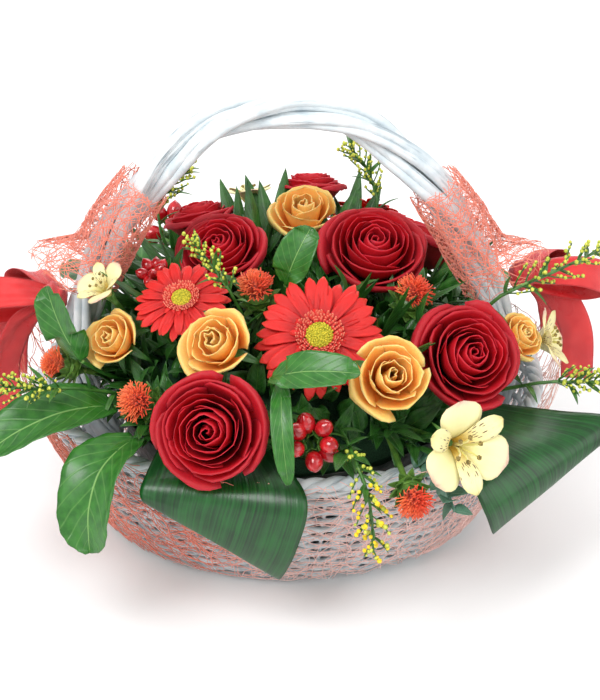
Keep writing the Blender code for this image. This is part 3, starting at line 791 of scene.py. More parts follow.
def at_share(route, share):
    """(place, radius, direction) at a share of the way along a route of (place, radius)."""
    at = min(share, 0.9999) * (len(route) - 1)
    i = int(at)
    (a, ra), (b, rb) = route[i], route[i + 1]
    return a.lerp(b, at - i), ra + (rb - ra) * (at - i), (b - a).normalized()


def narrow_leaf(bm, foot, aim, up, length, width, droop, cells=(4, 8)):
    """A narrow pointed leaf from its foot, which bends down towards its tip."""
    side = aim.cross(up).normalized()
    up = side.cross(aim).normalized()

    def place(u, v):
        half = width * 0.5 * math.sin(math.pi * min(1, 0.06 + v * 0.94) ** 0.75) ** 0.85
        fold = 0.35 * half * abs(u)
        return foot + aim * length * v + side * u * half + up * (fold + length * (0.12 * v - droop * v * v))

    strip(bm, *cells, place)


def around(aim, turn):
    """A direction square to the aim, turned round it."""
    return Matrix.Rotation(turn, 3, aim) @ aim.orthogonal().normalized()


def make_goldenrod(settings):
    bud = speckled_finish("Goldenrod bud", settings.bud, paint(226, 222, 96), 700, 0.6)
    open_bud = speckled_finish("Open goldenrod", paint(240, 196, 10), paint(255, 230, 50), 700, 0.6)
    leaf = leaf_finish("Goldenrod leaf", paint(34, 84, 26), paint(74, 130, 46), paint(110, 150, 70))
    for node in nodes_named("goldenrod"):
        route = route_of(node)
        rng = random.Random(node)
        buds, green = new_bmesh(), new_bmesh()
        main = [(p, max(0.0005, 0.0013 - 0.0008 * i / len(route))) for i, (p, _) in enumerate(route)]
        stalks = [main]
        for i in range(settings.branches):
            share = 0.36 + 0.62 * (i + rng.random()) / settings.branches
            place, reach, aim = at_share(route, share)
            out = (around(aim, i * GOLDEN_TURN) + aim * 0.7 + UP * 0.15).normalized()
            length = max(reach, 0.005) * rng.uniform(1.0, 1.7)
            points = [place + out * length * v + aim * length * 0.35 * v * v for v in (0, 0.4, 0.75, 1.0)]
            stalks.append([(p, 0.0004) for p in points])
            bright = node == "goldenrod_front" and share > 0.55
            for k in range(4):
                v = 0.45 + 0.55 * k / 3
                spot = place + out * length * v + aim * length * 0.35 * v * v
                spot += Vector((rng.uniform(-1, 1), rng.uniform(-1, 1), rng.uniform(-0.2, 1.2))) * 0.0013
                size = rng.uniform(0.0008, 0.0015) * (1.25 if bright else 1)
                ball(buds, spot, size, 1 if bright and rng.random() < 0.75 else 0, (1, 1, 1.15))
            if i % 2 == 0:
                long = rng.uniform(0.009, 0.016)
                narrow_leaf(green, place, (out + aim * 0.4).normalized(), UP, long, long * 0.22, 0.25)
        for i in range(6):
            place, _, aim = at_share(route, 0.10 + 0.10 * i)
            out = (around(aim, i * GOLDEN_TURN) + aim * 0.6).normalized()
            narrow_leaf(green, place, out, UP, rng.uniform(0.014, 0.022), 0.0035, 0.25)
        tubes(green, stalks, 4)
        finish_piece(buds, f"{node}_buds", [bud, open_bud], [node], "goldenrod_bud", recalc=False)
        finish_piece(green, f"{node}_stalks", [leaf], thickness=0.0003)


def make_leaves(settings):
    """Shrub leaves along the middles and widths of their CAD nodes. The first two rings are the stalk."""
    finish = leaf_finish("Shrub leaf", settings.leaf_dark, settings.leaf_light, paint(130, 176, 96))
    for node in nodes_named("leaf_"):
        rings = rings_of(node)
        places = [middle_of(ring) for ring in rings]
        sides, halves = [], []
        for ring, middle in zip(rings, places):
            far = max(ring, key=lambda p: (p - middle).length)
            across = max(ring, key=lambda p: (p - far).length) - far
            if sides and across.dot(sides[-1]) < 0:
                across = -across
            sides.append(across.normalized())
            halves.append(across.length / 2)
        foot = places[2]
        drift = random.Random(node).uniform(0, 40)
        size = max(halves)
        fine = curve_through(places[2:], 6)
        bm = new_bmesh()

        def place(u, v):
            at = v * (len(fine) - 1)
            i = min(int(at), len(fine) - 2)
            middle = fine[i].lerp(fine[i + 1], at - i)
            j = min(2 + int(v * (len(places) - 3)), len(places) - 2)
            side = sides[j].lerp(sides[min(j + 1, len(sides) - 1)], 0.5).normalized()
            half = size * (0.03 + 0.97 * math.sin(math.pi * min(1, v * 0.95 + 0.03) ** 0.86) ** 0.68)
            if v > 0.985:
                half *= 0.4
            along = (fine[i + 1] - fine[i]).normalized()
            up = side.cross(along).normalized()
            wave = noise.noise(Vector((u * 1.5, v * 5, drift))) * 0.16 * size * abs(u)
            veins = 0.02 * size * math.sin((v - abs(u) * 0.3) * 9 * 2 * math.pi) * abs(u)
            lift = 0.30 * half * u * u * (1 if up.dot(UP) > 0 else -1)
            teeth = 1 + 0.025 * math.sin(v * 40 * math.pi) * (abs(u) > 0.99)
            return middle + side * u * half * teeth + up * (lift + wave + veins)

        strip(bm, 14, 40, place)
        spots = places[0], places[1], foot, fine[6], fine[-8]
        girths = 0.0013, 0.0012, 0.0012, 0.0009, 0.0003
        tubes(bm, [[(p - UP * 0.0006, r) for p, r in zip(spots, girths)]], 6)
        finish_piece(bm, f"{node}_blade", [finish], [node], "leaf", 0.0005, recalc=False)


# The folded leaves' side edges, each from the foam out, round the fold and back
FOLDS = {
    "folded_leaf_front": (
        [(-0.078, -0.098, 0.112), (-0.086, -0.142, 0.113), (-0.089, -0.153, 0.108),
         (-0.086, -0.154, 0.101), (-0.080, -0.149, 0.102), (-0.076, -0.147, 0.105)],
        [(-0.010, -0.112, 0.112), (0.011, -0.160, 0.108), (0.005, -0.167, 0.076),
         (-0.006, -0.158, 0.047), (-0.006, -0.152, 0.066), (-0.006, -0.155, 0.092)],
    ),
    "folded_leaf_right": (
        [(0.106, -0.052, 0.112), (0.168, -0.078, 0.119), (0.202, -0.086, 0.119),
         (0.198, -0.095, 0.107), (0.182, -0.090, 0.103), (0.166, -0.087, 0.105)],
        [(0.084, -0.088, 0.111), (0.108, -0.140, 0.109), (0.119, -0.153, 0.092),
         (0.125, -0.147, 0.073), (0.124, -0.142, 0.086), (0.124, -0.143, 0.096)],
    ),
}


def make_folded_leaves(settings):
    finish = long_leaf_finish("Folded strap leaf", paint(5, 38, 12), settings.strap_green, paint(40, 100, 50))
    for node, (edge_a, edge_b) in FOLDS.items():
        a, b = curve_through(edge_a, 12), curve_through(edge_b, 12)
        bm = new_bmesh()

        def place(u, v):
            i = min(round(v * (len(a) - 1)), len(a) - 1)
            share = u * 0.5 + 0.5
            middle = a[i].lerp(b[i], share)
            ahead = step_past(a, i) + step_past(b, i)
            out = ahead.cross(b[i] - a[i]).normalized()
            return middle + out * 0.0012 * math.sin(share * 9) * math.sin(v * 5)

        strip(bm, 24, len(a) - 1, place)
        finish_piece(bm, f"{node}_blade", [finish], [node], "glossy_leaf", 0.0007, recalc=False)


# ---------------------------------------------------------------- basket, handle, liner


@functools.cache
def box_of(node):
    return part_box(node)


@functools.cache
def half_size(node):
    low, high = box_of(node)
    return (high - low) / 2


def round_ellipse(x, y, angle, z):
    return Vector((x * math.cos(angle), y * math.sin(angle), z))


def wall_point(angle, share, out):
    """A point of the basket's flared wall, at a share of its height and grown outwards."""
    low, top = half_size("basket_base"), half_size("basket_wall")
    bottom, rim = box_of("basket_wall")
    flare = share**0.8
    half_x = low.x + 0.006 + (top.x - low.x - 0.006) * flare + out
    half_y = low.y + 0.006 + (top.y - low.y - 0.006) * flare + out
    return round_ellipse(half_x, half_y, angle, bottom.z + (rim.z - bottom.z) * share)


def make_basket(settings):
    willow = willow_finish()
    rows, stakes = settings.rows, settings.stakes
    cane, rod = 0.0018, 0.0013
    bm = new_bmesh()
    weavers = []
    for row in range(rows):
        share = 0.02 + 0.96 * row / (rows - 1)
        route = []
        for i in range(stakes * 4):
            angle = 2 * math.pi * i / (stakes * 4)
            wave = math.cos(stakes / 2 * angle + row * math.pi) * (cane + rod * 0.6)
            uneven = 0.0004 * noise.noise(Vector((angle * 6, row * 3.1, 0)))
            route.append((wall_point(angle, share, -0.0025 + wave) + UP * uneven, cane))
        weavers.append(route)
    tubes(bm, weavers, 6, closed=True)
    uprights = []
    for k in range(stakes):
        angle = 2 * math.pi * k / stakes
        uprights.append([(wall_point(angle, i / 7, -0.0025), rod) for i in range(8)])
    tubes(bm, uprights, 6)
    finish_piece(bm, "wicker_wall", [willow], ["basket_wall"], "white_willow", recalc=False)

    rim = half_size("basket_rim")
    low, high = box_of("basket_rim")
    height = (low.z + high.z) / 2
    strands, points, braid_turns = [], 360, 27
    for strand in range(3):
        route = []
        for i in range(points):
            angle = 2 * math.pi * i / points
            twist = angle * braid_turns + 2 * math.pi * strand / 3
            out = 0.0026 * math.cos(twist) - rim.z
            place = round_ellipse(rim.x + out, rim.y + out, angle, height)
            route.append((place + UP * 0.0024 * math.sin(twist), 0.0027))
        strands.append(route)
    bm = new_bmesh()
    tubes(bm, strands, 8, closed=True)
    finish_piece(bm, "wicker_rim", [willow], ["basket_rim"], "white_willow", recalc=False)

    base = half_size("basket_base")
    middle, rings, ring_count, points = 0.0042, [], 21, 96
    for k in range(1, ring_count + 1):
        share = k / ring_count * 0.98
        route = []
        for i in range(points):
            angle = 2 * math.pi * i / points
            wave = 0.0011 * math.cos(12 * angle + k * math.pi)
            route.append((round_ellipse(base.x * share, base.y * share, angle, middle + wave), 0.0024))
        rings.append(route)
    bm = new_bmesh()
    tubes(bm, rings, 6, closed=True)
    spokes = []
    for k in range(12):
        end = round_ellipse(base.x, base.y, math.pi * k / 12, 0)
        spokes.append([(end * share + UP * middle, 0.0017) for share in (-1, -0.5, 0, 0.5, 1)])
    tubes(bm, spokes, 6)
    finish_piece(bm, "wicker_base", [willow], ["basket_base"], "white_willow", recalc=False)


def make_handle(settings):
    willow = willow_finish()
    for node in nodes_named("handle_rod"):
        rings = rings_of(node, reach=0.0125)
        route = curve_through([middle_of(ring) for ring in rings], 4)
        rng = random.Random(node)
        strands = []
        for strand in range(settings.strands):
            drift = rng.uniform(0, 60)
            points = []
            for i, place in enumerate(route):
                ahead = step_past(route, i).normalized()
                out = ahead.cross(Vector((0, 1, 0))).normalized()
                across = out.cross(ahead)
                angle = 2 * math.pi * (strand / settings.strands + 1.6 * i / len(route))
                wander = 0.0004 * noise.noise(Vector((i * 0.12, drift, 0)))
                thick = 0.0036 * (1 + 0.14 * noise.noise(Vector((i * 0.2, drift, 9))))
                off = (out * math.cos(angle) + across * math.sin(angle)) * (0.0027 + wander)
                points.append((place + off, thick))
            strands.append(points)
        bm = new_bmesh()
        tubes(bm, strands, 10)
        finish_piece(bm, f"{node}_willow", [willow], [node], "white_willow", recalc=False)


def make_liner(settings):
    dark, grey = paint(24, 30, 26), paint(50, 60, 52)
    film = speckled_finish("Dark liner film", dark, grey, 120, 0.28, 0.0012, coat_weight=0.3)
    bm = bmesh.new()
    bm.from_mesh(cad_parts["liner"].data)
    bmesh.ops.remove_doubles(bm, verts=bm.verts, dist=0.00001)
    bmesh.ops.subdivide_edges(bm, edges=bm.edges, cuts=1, use_grid_fill=True)
    for v in bm.verts:
        crease = noise.noise(v.co * 90) * 0.0006
        v.co += Vector((v.co.x, v.co.y, 0)).normalized() * crease
    for f in bm.faces:
        f.smooth = True
    finish_piece(bm, "liner_film", [film], ["liner"], "liner_film", recalc=False)
    foam = speckled_finish("Wet flower foam", paint(22, 58, 34), paint(40, 86, 52), 1400, 0.9, 0.0006)
    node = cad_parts["foam"]
    node.data.materials.clear()
    node.data.materials.append(foam)


# ---------------------------------------------------------------- net


# The net round a leg of the handle, from the top: inner and outer (x, z) on the leg's plane, and half depth
SLEEVE = [
    ((0.0775, 0.2295), (0.1035, 0.2520), 0.0175),
    ((0.0935, 0.2030), (0.1240, 0.2240), 0.0180),
    ((0.1060, 0.1790), (0.1380, 0.2010), 0.0200),
    ((0.1160, 0.1600), (0.1680, 0.1930), 0.0280),
]


def wrap_point(angle, share):
    """The net round the basket, from its foot to its loose edge above the rim."""
    rim, top = half_size("basket_wall"), box_of("basket_rim")
    middle = (top[0].z + top[1].z) / 2
    if share < 0.82:
        place = wall_point(angle, 0.03 + 0.87 * share / 0.82, 0.0045)
    elif share < 0.92:
        low = wall_point(angle, 0.90, 0.0045)
        high = round_ellipse(rim.x + 0.007, rim.y + 0.007, angle, middle)
        place = low.lerp(high, (share - 0.82) / 0.10)
    else:
        over = (share - 0.92) / 0.08
        flare = 0.007 + 0.004 * over
        near = abs(math.cos(angle)) ** 24
        place = round_ellipse(rim.x + flare, rim.y + flare, angle, middle)
        place.z += (0.010 + 0.010 * near) * over
    out = Vector((place.x, place.y, 0)).normalized()
    pucker = 0.5 + 0.5 * noise.noise(Vector((math.cos(angle) * 7, math.sin(angle) * 7, share * 1.4)))
    fold = abs(math.sin(angle * 19 + 2.5 * noise.noise(Vector((share * 2, angle, 3)))))
    return place + out * (0.0030 * pucker + 0.0022 * fold) * (0.4 + 0.6 * share)


def sleeve_point(side, angle, share):
    at = min(share * (len(SLEEVE) - 1), len(SLEEVE) - 1.0001)
    i = int(at)
    (ia, oa, da), (ib, ob, db) = SLEEVE[i], SLEEVE[i + 1]
    t = at - i
    inner, outer = Vector(ia).lerp(Vector(ib), t), Vector(oa).lerp(Vector(ob), t)
    middle, across, depth = (inner + outer) / 2, (outer - inner) / 2, da + (db - da) * t
    pleat = 1 + 0.05 * math.sin(angle * 9 + share * 3) + 0.06 * noise.noise(Vector((angle, share * 3, side)))
    place = middle + across * math.cos(angle) * pleat
    return Vector((side * place.x, depth * math.sin(angle) * pleat, place.y))


def net_fibres(bm, surface, flat, spacing, size, seed, overshoot=0.0):
    """Crossing fibres that wander over surface(angle, share), about that spacing apart.

    flat is the net's width, the way round, and its height."""
    rng = random.Random(seed)
    (wide, height), step, mean = flat, 0.005, 0.055
    count = int(wide * height * 2 / spacing / mean)
    routes = []
    for _ in range(count):
        angle, share = rng.uniform(0, 2 * math.pi), rng.uniform(-0.02, 1.0)
        way, bend = rng.uniform(0, 2 * math.pi), rng.uniform(-0.22, 0.22)
        lift, radius = rng.uniform(-0.0005, 0.0009), size * rng.uniform(0.6, 1.3)
        route = []
        for _ in range(int(mean / step * rng.uniform(0.6, 1.4))):
            if not -0.01 <= share <= 1.0 + overshoot:
                break
            place = surface(angle % (2 * math.pi), min(max(share, 0), 1))
            if share > 1:
                place += UP * (share - 1) * height
            out = Vector((place.x, place.y, 0)).normalized()
            route.append((place + out * lift, radius))
            angle += math.cos(way) * step / wide * 2 * math.pi
            share += math.sin(way) * step / height
            way += bend + rng.uniform(-0.25, 0.25)
        if len(route) > 2:
            routes.append(route)
    tubes(bm, routes, 4)


def make_net(settings):
    net = net_finish()

    def lay(name, node, surface, flat, spacing, seed, overshoot=0.0):
        """One net, whose fibres cover a share of its flat area."""
        bm = new_bmesh()
        net_fibres(bm, surface, flat, spacing, settings.fibre, seed, overshoot)
        piece = finish_piece(bm, name, [net], [node], "net_fibre", recalc=False)

    spacing = settings.net_spacing
    lay("net_wrap_fibres", "net_wrap", wrap_point, (0.96, 0.122), spacing, "wrap", 0.02)
    for side, node in ((-1, "net_sleeve_left"), (1, "net_sleeve_right")):
        surface = functools.partial(sleeve_point, side)
        lay(f"{node}_fibres", node, surface, (0.128, 0.082), spacing * 0.45, node)


# ---------------------------------------------------------------- ribbon bows


# A loop from the knot: how far out, and up across its plane. A tail from the knot: its points.
LOOP = [
    (0, 0.001), (0.016, 0.009), (0.040, 0.012), (0.055, 0.002),
    (0.040, -0.009), (0.016, -0.008), (0, -0.003),
]
TAIL = [(0.0, 0.0, -0.002), (0.022, -0.006, -0.012), (0.036, -0.012, -0.038), (0.038, -0.016, -0.074)]
# Side of the basket, the knot's place and how far the tails are turned round it, in degrees
BOWS = {"bow_left": (-1, (0.154, -0.004, 0.160), 0), "bow_right": (1, (0.154, 0.016, 0.166), 24)}


def ribbon(bm, points, wide, pinch, seed):
    """A strip of ribbon along the points, gathered where pinch(v) is under 1. It returns its length."""
    route = curve_through(points, 10)
    drift = random.Random(seed).uniform(0, 60)

    def place(u, v):
        i = round(v * (len(route) - 1))
        ahead = step_past(route, i).normalized()
        side = (wide - ahead * wide.dot(ahead)).normalized() * wide.length
        up = side.cross(ahead).normalized()
        tight = pinch(v)
        pleat = (1 - tight) * 0.0035 * math.sin(u * 7)
        wave = 0.0016 * noise.noise(Vector((u * 1.2, v * 5, drift)))
        return route[i] + side * u * 0.5 * tight + up * (pleat + wave + 0.001 * u * u)

    strip(bm, 12, len(route) - 1, place)
    return sum((b - a).length for a, b in zip(route, route[1:]))


def loop_pinch(v):
    return 0.35 + 0.65 * math.sin(math.pi * v) ** 0.6


def tail_pinch(v):
    return min(1, 0.4 + 1.6 * v)


def make_bows(settings):
    satin = satin_finish()
    width = settings.ribbon
    for node, (side, knot, tail_turn) in BOWS.items():
        knot, flip = Vector(knot), Matrix.Diagonal((side, 1, 1))
        bm, length = new_bmesh(), 0.0
        for turn, tilt, size in ((-8, 0, 1.0), (46, -60, 0.7)):
            spin = Matrix.Rotation(math.radians(turn), 3, "Z") @ Matrix.Rotation(math.radians(tilt), 3, "X")
            up, wide = Vector((0, -0.6, 0.8)), Vector((0, 0.8, 0.6))
            plane = [Vector((out * size, 0, 0)) + up * rise * size for out, rise in LOOP]
            points = [flip @ (knot + spin @ p) for p in plane]
            length += ribbon(bm, points, flip @ (spin @ wide * width), loop_pinch, node)
        for turn, size in ((-14, 1.0), (34, 0.8)):
            spin = Matrix.Rotation(math.radians(turn + tail_turn), 3, "Z")
            points = [flip @ (knot + spin @ (Vector(p) * size)) for p in TAIL]
            wide = flip @ (spin @ Vector((0.9, -0.35, 0.25)).normalized() * width * 0.9)
            length += ribbon(bm, points, wide, tail_pinch, f"{node}{turn}")
        bow = finish_piece(bm, f"{node}_ribbon", [satin], [node], "ribbon_satin", 0.00035, recalc=False)
        bm = new_bmesh()
        made = bmesh.ops.create_uvsphere(bm, u_segments=40, v_segments=20, radius=1, calc_uvs=True)["verts"]
        for v in made:
            pleat = 1 + 0.06 * math.sin(math.atan2(v.co.z, v.co.x) * 9 + v.co.y * 3)
            v.co = flip @ (knot + Vector((v.co.x * 0.009 * pleat, v.co.y * 0.012, v.co.z * 0.010 * pleat)))
        smooth_faces(made)
        tie = finish_piece(bm, f"{node}_knot", [satin], slot="ribbon_satin")


# ---------------------------------------------------------------- filler greens


def make_filler(settings):
    """Sprigs, small leaves and tall leaves between the blooms, which cover the foam."""
    dark = leaf_finish("Dark sprig leaf", paint(22, 70, 20), paint(56, 118, 38), paint(92, 144, 62))
    low, high = box_of("foam")
    crown = Vector(((high.x - low.x) / 2, (high.y - low.y) / 2, 0))
    blooms = []
    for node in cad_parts:
        start = next((s for s in BLOOMS if node.startswith(s)), None)
        if start:
            matrix, radius, _ = bloom_place(node, BLOOMS[start][0])
            blooms.append((matrix @ Vector((0, 0, -0.2 * radius)), radius))
    rng = random.Random("filler")
    bm = new_bmesh()
    stalks, made = [], 0
    for _ in range(2400):
        if made >= settings.sprigs:
            break
        angle, reach = rng.uniform(0, 2 * math.pi), math.sqrt(rng.uniform(0.05, 1))
        start = round_ellipse(crown.x * reach, crown.y * reach, angle, 0)
        start.z = low.z + 0.100 if reach > 0.85 else high.z - 0.010
        if reach <= 0.85:
            start.x, start.y = start.x * 0.72, start.y * 0.72
        outwards = Vector((start.x, start.y, 0)).normalized()
        lift = rng.uniform(0.15, 0.8) if reach > 0.85 else rng.uniform(1.0, 2.5)
        lean = Vector((rng.uniform(-0.4, 0.4), rng.uniform(-0.4, 0.4), 0))
        aim = (outwards + UP * lift + lean).normalized()
        long = rng.uniform(0.028, 0.052)
        tip = start + aim * long
        spots = [start.lerp(tip, s) for s in (0.55, 0.8, 1.0, 1.2)]
        if any((spot - middle).length < radius * 0.92 for spot in spots for middle, radius in blooms):
            continue
        made += 1
        stalks.append([(start, 0.0009), (start.lerp(tip, 0.5) + UP * 0.004, 0.0008), (tip, 0.0005)])
        for k in range(7):
            share = 0.40 + 0.60 * k / 6
            out = (around(aim, k * GOLDEN_TURN) + aim * (0.5 + 0.9 * share)).normalized()
            leaf = rng.uniform(0.016, 0.026)
            narrow_leaf(bm, start.lerp(tip, share), out, UP, leaf, leaf * rng.uniform(0.30, 0.42), 0.2)
    tubes(bm, stalks, 4)
    finish_piece(bm, "filler_sprigs", [dark], thickness=0.0003, recalc=False)

    bm = new_bmesh()
    for i in range(settings.carpet):
        turn, share = i * GOLDEN_TURN, (i + 0.5) / settings.carpet
        if share < 0.45:
            reach = 0.78 * math.sqrt(share / 0.45)
            start = round_ellipse(crown.x * reach, crown.y * reach, turn, high.z - 0.001)
        else:
            drop = (share - 0.45) / 0.55
            reach = 0.80 + 0.20 * min(1, drop * 2.2)
            start = round_ellipse(crown.x * reach, crown.y * reach, turn, high.z - 0.034 * drop)
        out = Vector((start.x, start.y, 0)).normalized()
        aim = out * rng.uniform(0.2, 1.0) + UP * rng.uniform(0.5, 1.2)
        aim += Vector((rng.uniform(-1, 1), rng.uniform(-1, 1), 0)) * 0.5
        long = rng.uniform(0.016, 0.030)
        wide = long * rng.uniform(0.35, 0.5)
        narrow_leaf(bm, start, aim.normalized(), (out + UP).normalized(), long, wide, 0.45)
    finish_piece(bm, "filler_leaves", [dark], thickness=0.0003, recalc=False)

    bm, stalks = new_bmesh(), []
    for _ in range(900):
        if len(stalks) >= settings.tall_leaves:
            break
        angle, reach = rng.uniform(0, 2 * math.pi), rng.uniform(0.25, 0.78)
        start = round_ellipse(crown.x * reach, crown.y * reach, angle, high.z - 0.010)
        outwards = Vector((start.x, start.y, 0)).normalized()
        aim = (outwards * rng.uniform(0.2, 0.7) + UP + Vector((rng.uniform(-0.3, 0.3), 0, 0))).normalized()
        tip = start + aim * rng.uniform(0.070, 0.095)
        spots = [start.lerp(tip, s) for s in (0.45, 0.6, 0.8, 1.0)]
        if any((spot - middle).length < radius for spot in spots for middle, radius in blooms):
            continue
        foot = start.lerp(tip, 0.35)
        stalks.append([(start, 0.0011), (foot, 0.0010), (start.lerp(tip, 0.6), 0.0005)])
        for side in (-1, 0, 1):
            lean = (aim + outwards.cross(UP) * side * 0.7).normalized()
            long = (tip - foot).length * (1.0 if side == 0 else 0.62)
            start = foot.lerp(tip, 0.12 * abs(side))
            narrow_leaf(bm, start, lean, outwards, long, long * 0.24, -0.12, cells=(8, 14))
    tubes(bm, stalks, 6)
    finish_piece(bm, "tall_leaves", [dark], thickness=0.0003, recalc=False)

    grey = leaf_finish("Grey round leaf", paint(60, 104, 84), paint(100, 146, 120), paint(150, 180, 160), 0.5)
    bm = new_bmesh()
    route = curve_through([(0.072, -0.088, 0.112), (0.090, -0.130, 0.110), (0.100, -0.156, 0.096)], 6)
    stalk = [(p, 0.0009) for p in route]
    tubes(bm, [stalk], 6)
    for k in range(12):
        place, _, aim = at_share(stalk, 0.3 + 0.7 * k / 11)
        narrow_leaf(bm, place, (around(aim, k * 1.9) + aim * 0.3).normalized(), UP, 0.012, 0.012, 0.15)
    finish_piece(bm, "round_leaf_sprig", [grey], thickness=0.0003, recalc=False)


# ---------------------------------------------------------------- stage


# The camera looks at the aim from the front and above: metres, degrees and millimetres
CAMERA_AIM, CAMERA_DISTANCE, CAMERA_ELEVATION, CAMERA_LENS = (0.007, 0, 0.118), 1.25, 30, 96.4


def make_stage(settings):
    scene = bpy.context.scene
    scene.view_settings.view_transform = "Standard"
    bm = new_bmesh()
    bmesh.ops.create_grid(bm, x_segments=1, y_segments=1, size=3, calc_uvs=True)
    mesh = bpy.data.meshes.new("floor")
    bm.to_mesh(mesh)
    bm.free()
    floor = bpy.data.objects.new("floor", mesh)
    scene.collection.objects.link(floor)
    pale = Finish("Pale floor", 0.8)
    pale.colour(pale.mix(pale.noise(pale.place(), 3), (0.90, 0.90, 0.90), (0.94, 0.94, 0.94)))
    mesh.materials.append(pale.material)

    world = bpy.data.worlds.new("soft white")
    world.use_nodes = True
    world.node_tree.nodes["Background"].inputs["Color"].default_value = (1, 1, 1, 1)
    world.node_tree.nodes["Background"].inputs["Strength"].default_value = settings.world_light
    scene.world = world
    aim = Vector(CAMERA_AIM)
    for name, place, size, energy in (
        ("key", (-0.7, -0.9, 1.5), 0.9, settings.key_light),
        ("fill", (1.1, -0.8, 0.9), 1.2, settings.key_light * 0.35),
        ("back", (0.2, 1.2, 1.1), 1.0, settings.key_light * 0.4),
    ):
        light = bpy.data.lights.new(name, "AREA")
        light.size, light.energy = size, energy
        lamp = bpy.data.objects.new(name, light)
        lamp.location = place
        lamp.rotation_euler = (aim - Vector(place)).to_track_quat("-Z", "Y").to_euler()
        scene.collection.objects.link(lamp)

    back = Matrix.Rotation(-math.radians(CAMERA_ELEVATION), 3, "X") @ Vector((0, -1, 0))
    lens = bpy.data.cameras.new("camera")
    lens.sensor_width, lens.lens = 36, CAMERA_LENS
    camera = bpy.data.objects.new("camera", lens)
    camera.location = aim + back * CAMERA_DISTANCE
    camera.rotation_euler = (-back).to_track_quat("-Z", "Y").to_euler()
    scene.collection.objects.link(camera)
    scene.camera = camera


# ---------------------------------------------------------------- add-on


def colour_property(name, description, *shade):
    return bpy.props.FloatVectorProperty(
        name=name, description=description, default=paint(*shade), subtype="COLOR", size=3, min=0, max=1
    )


def count_property(name, description, default, most):
    return bpy.props.IntProperty(name=name, description=description, default=default, min=3, max=most)


def length_property(name, description, default):
    limits = {"min": 0.0001, "max": 0.1, "precision": 4, "subtype": "DISTANCE", "unit": "LENGTH"}
    return bpy.props.FloatProperty(name=name, description=description, default=default, **limits)


def light_property(name, description, default, unit):
    return bpy.props.FloatProperty(name=name, description=description, default=default, min=0, unit=unit)


class BasketSettings(bpy.types.PropertyGroup):
    """Sizes and counts of the basket, its handle, net and ribbon."""

    rows: count_property("Rows", "Rows of weavers up the wall", 21, 60)
    stakes: count_property("Stakes", "Upright stakes in the wall, an even number", 44, 120)
    strands: count_property("Strands", "Willow strands in each rod of the handle", 3, 6)
    net_spacing: length_property("Net spacing", "Mean distance between the net's fibres", 0.0019)
    fibre: length_property("Fibre", "Radius of a fibre of the net", 0.00026)
    ribbon: length_property("Ribbon", "Width of the ribbon", 0.024)


class FlowerSettings(bpy.types.PropertyGroup):
    """Counts and colours of the blooms and greens."""

    rose_petals: count_property("Rose petals", "Petals of a red rose", 23, 60)
    spray_petals: count_property("Spray rose petals", "Petals of an apricot rose", 13, 40)
    gerbera_rays: count_property("Gerbera rays", "Long rays in each of two layers", 25, 60)
    florets: count_property("Florets", "Florets of a safflower", 190, 400)
    branches: count_property("Branches", "Side branches of a goldenrod spray", 24, 60)
    sprigs: count_property("Sprigs", "Sprigs of small leaves between the blooms", 90, 300)
    red: colour_property("Red", "Body of the red roses' petals", 188, 6, 28)
    apricot: colour_property("Apricot", "Body of the spray roses' petals", 255, 200, 112)
    scarlet: colour_property("Scarlet", "Body of the gerberas' rays", 240, 30, 26)
    cream: colour_property("Cream", "Body of the lilies' tepals", 248, 240, 178)
    amber: colour_property("Amber", "Tips of the safflower's florets", 246, 120, 60)
    berry: colour_property("Berry", "Lighter skin of the berries", 206, 30, 38)
    bud: colour_property("Bud", "Goldenrod buds", 164, 180, 50)
    tall_leaves: count_property("Tall leaves", "Stalks of long leaves between the blooms", 22, 60)
    carpet: count_property("Carpet", "Small leaves that cover the foam", 620, 2000)
    leaf_dark: colour_property("Dark leaf", "Darker patches of the shrub leaves", 28, 88, 22)
    leaf_light: colour_property("Light leaf", "Lighter patches of the shrub leaves", 52, 120, 34)
    strap_green: colour_property("Strap leaf", "Lighter bands of the folded leaves", 18, 88, 28)


class StageSettings(bpy.types.PropertyGroup):
    """Light on the stage."""

    world_light: light_property("World", "Strength of the white surroundings", 0.75, "NONE")
    key_light: light_property("Key", "Power of the key light", 22, "POWER")


def piece_operator(key, label, doc, make, group):
    """An operator that makes one piece, or a group of like pieces, with the settings of a group."""

    def execute(self, context):
        make(getattr(context.scene, group))
        return {"FINISHED"}

    parts = {"bl_idname": "basket." + key, "bl_label": label, "__doc__": doc, "execute": execute}
    return type("BASKET_OT_" + key, (bpy.types.Operator,), parts)


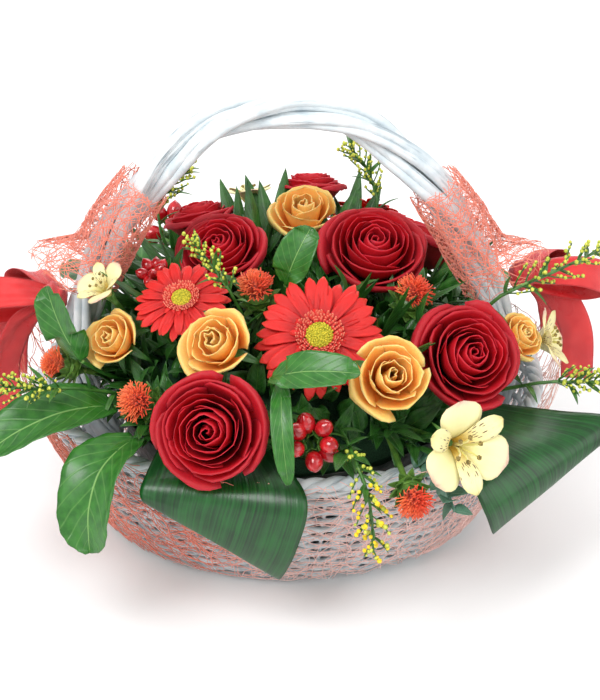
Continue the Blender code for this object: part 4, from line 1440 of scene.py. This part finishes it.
OPERATORS = [
    piece_operator("stage", "Stage", "Floor, lights and camera", make_stage, "basket_stage"),
    piece_operator("wicker", "Basket", "Woven base, wall and rim", make_basket, "basket_sizes"),
    piece_operator("handle", "Handle", "Twisted willow handle", make_handle, "basket_sizes"),
    piece_operator("liner", "Liner and foam", "Crinkled film liner and wet foam", make_liner, "basket_sizes"),
    piece_operator("net", "Net", "Fibre net round the basket and the handle", make_net, "basket_sizes"),
    piece_operator("bows", "Bows", "Satin bows at both legs of the handle", make_bows, "basket_sizes"),
    piece_operator("roses", "Roses", "Red roses and apricot spray roses", make_roses, "basket_flowers"),
    piece_operator("gerberas", "Gerberas", "Scarlet gerberas", make_gerberas, "basket_flowers"),
    piece_operator("lilies", "Lilies", "Cream Peruvian lilies", make_lilies, "basket_flowers"),
    piece_operator("thistles", "Safflowers", "Orange safflowers", make_thistles, "basket_flowers"),
    piece_operator("berries", "Berries", "Clusters of red berries", make_berries, "basket_flowers"),
    piece_operator("goldenrod", "Goldenrod", "Goldenrod sprays", make_goldenrod, "basket_flowers"),
    piece_operator("leaves", "Leaves", "Shrub leaves", make_leaves, "basket_flowers"),
    piece_operator("folds", "Folded leaves", "Strap leaves, folded", make_folded_leaves, "basket_flowers"),
    piece_operator("filler", "Filler greens", "Sprigs between the blooms", make_filler, "basket_flowers"),
]
GROUPS = {"basket_sizes": BasketSettings, "basket_flowers": FlowerSettings, "basket_stage": StageSettings}


class BASKET_PT_panel(bpy.types.Panel):
    """The basket's settings and its operators."""

    bl_label = "Flower Basket"
    bl_space_type = "VIEW_3D"
    bl_region_type = "UI"
    bl_category = "Basket"

    def draw(self, context):
        for name, group in GROUPS.items():
            box = self.layout.box()
            for key in group.__annotations__:
                box.prop(getattr(context.scene, name), key)
        for operator in OPERATORS:
            self.layout.operator(operator.bl_idname)


CLASSES = [*GROUPS.values(), *OPERATORS, BASKET_PT_panel]


def register():
    for cls in CLASSES:
        bpy.utils.register_class(cls)
    for name, group in GROUPS.items():
        setattr(bpy.types.Scene, name, bpy.props.PointerProperty(type=group))


def unregister():
    for name in GROUPS:
        delattr(bpy.types.Scene, name)
    for cls in reversed(CLASSES):
        bpy.utils.unregister_class(cls)


def main():
    register()
    for operator in OPERATORS:
        getattr(bpy.ops.basket, operator.bl_idname.split(".")[1])()
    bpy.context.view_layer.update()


if __name__ == "__main__":
    main()
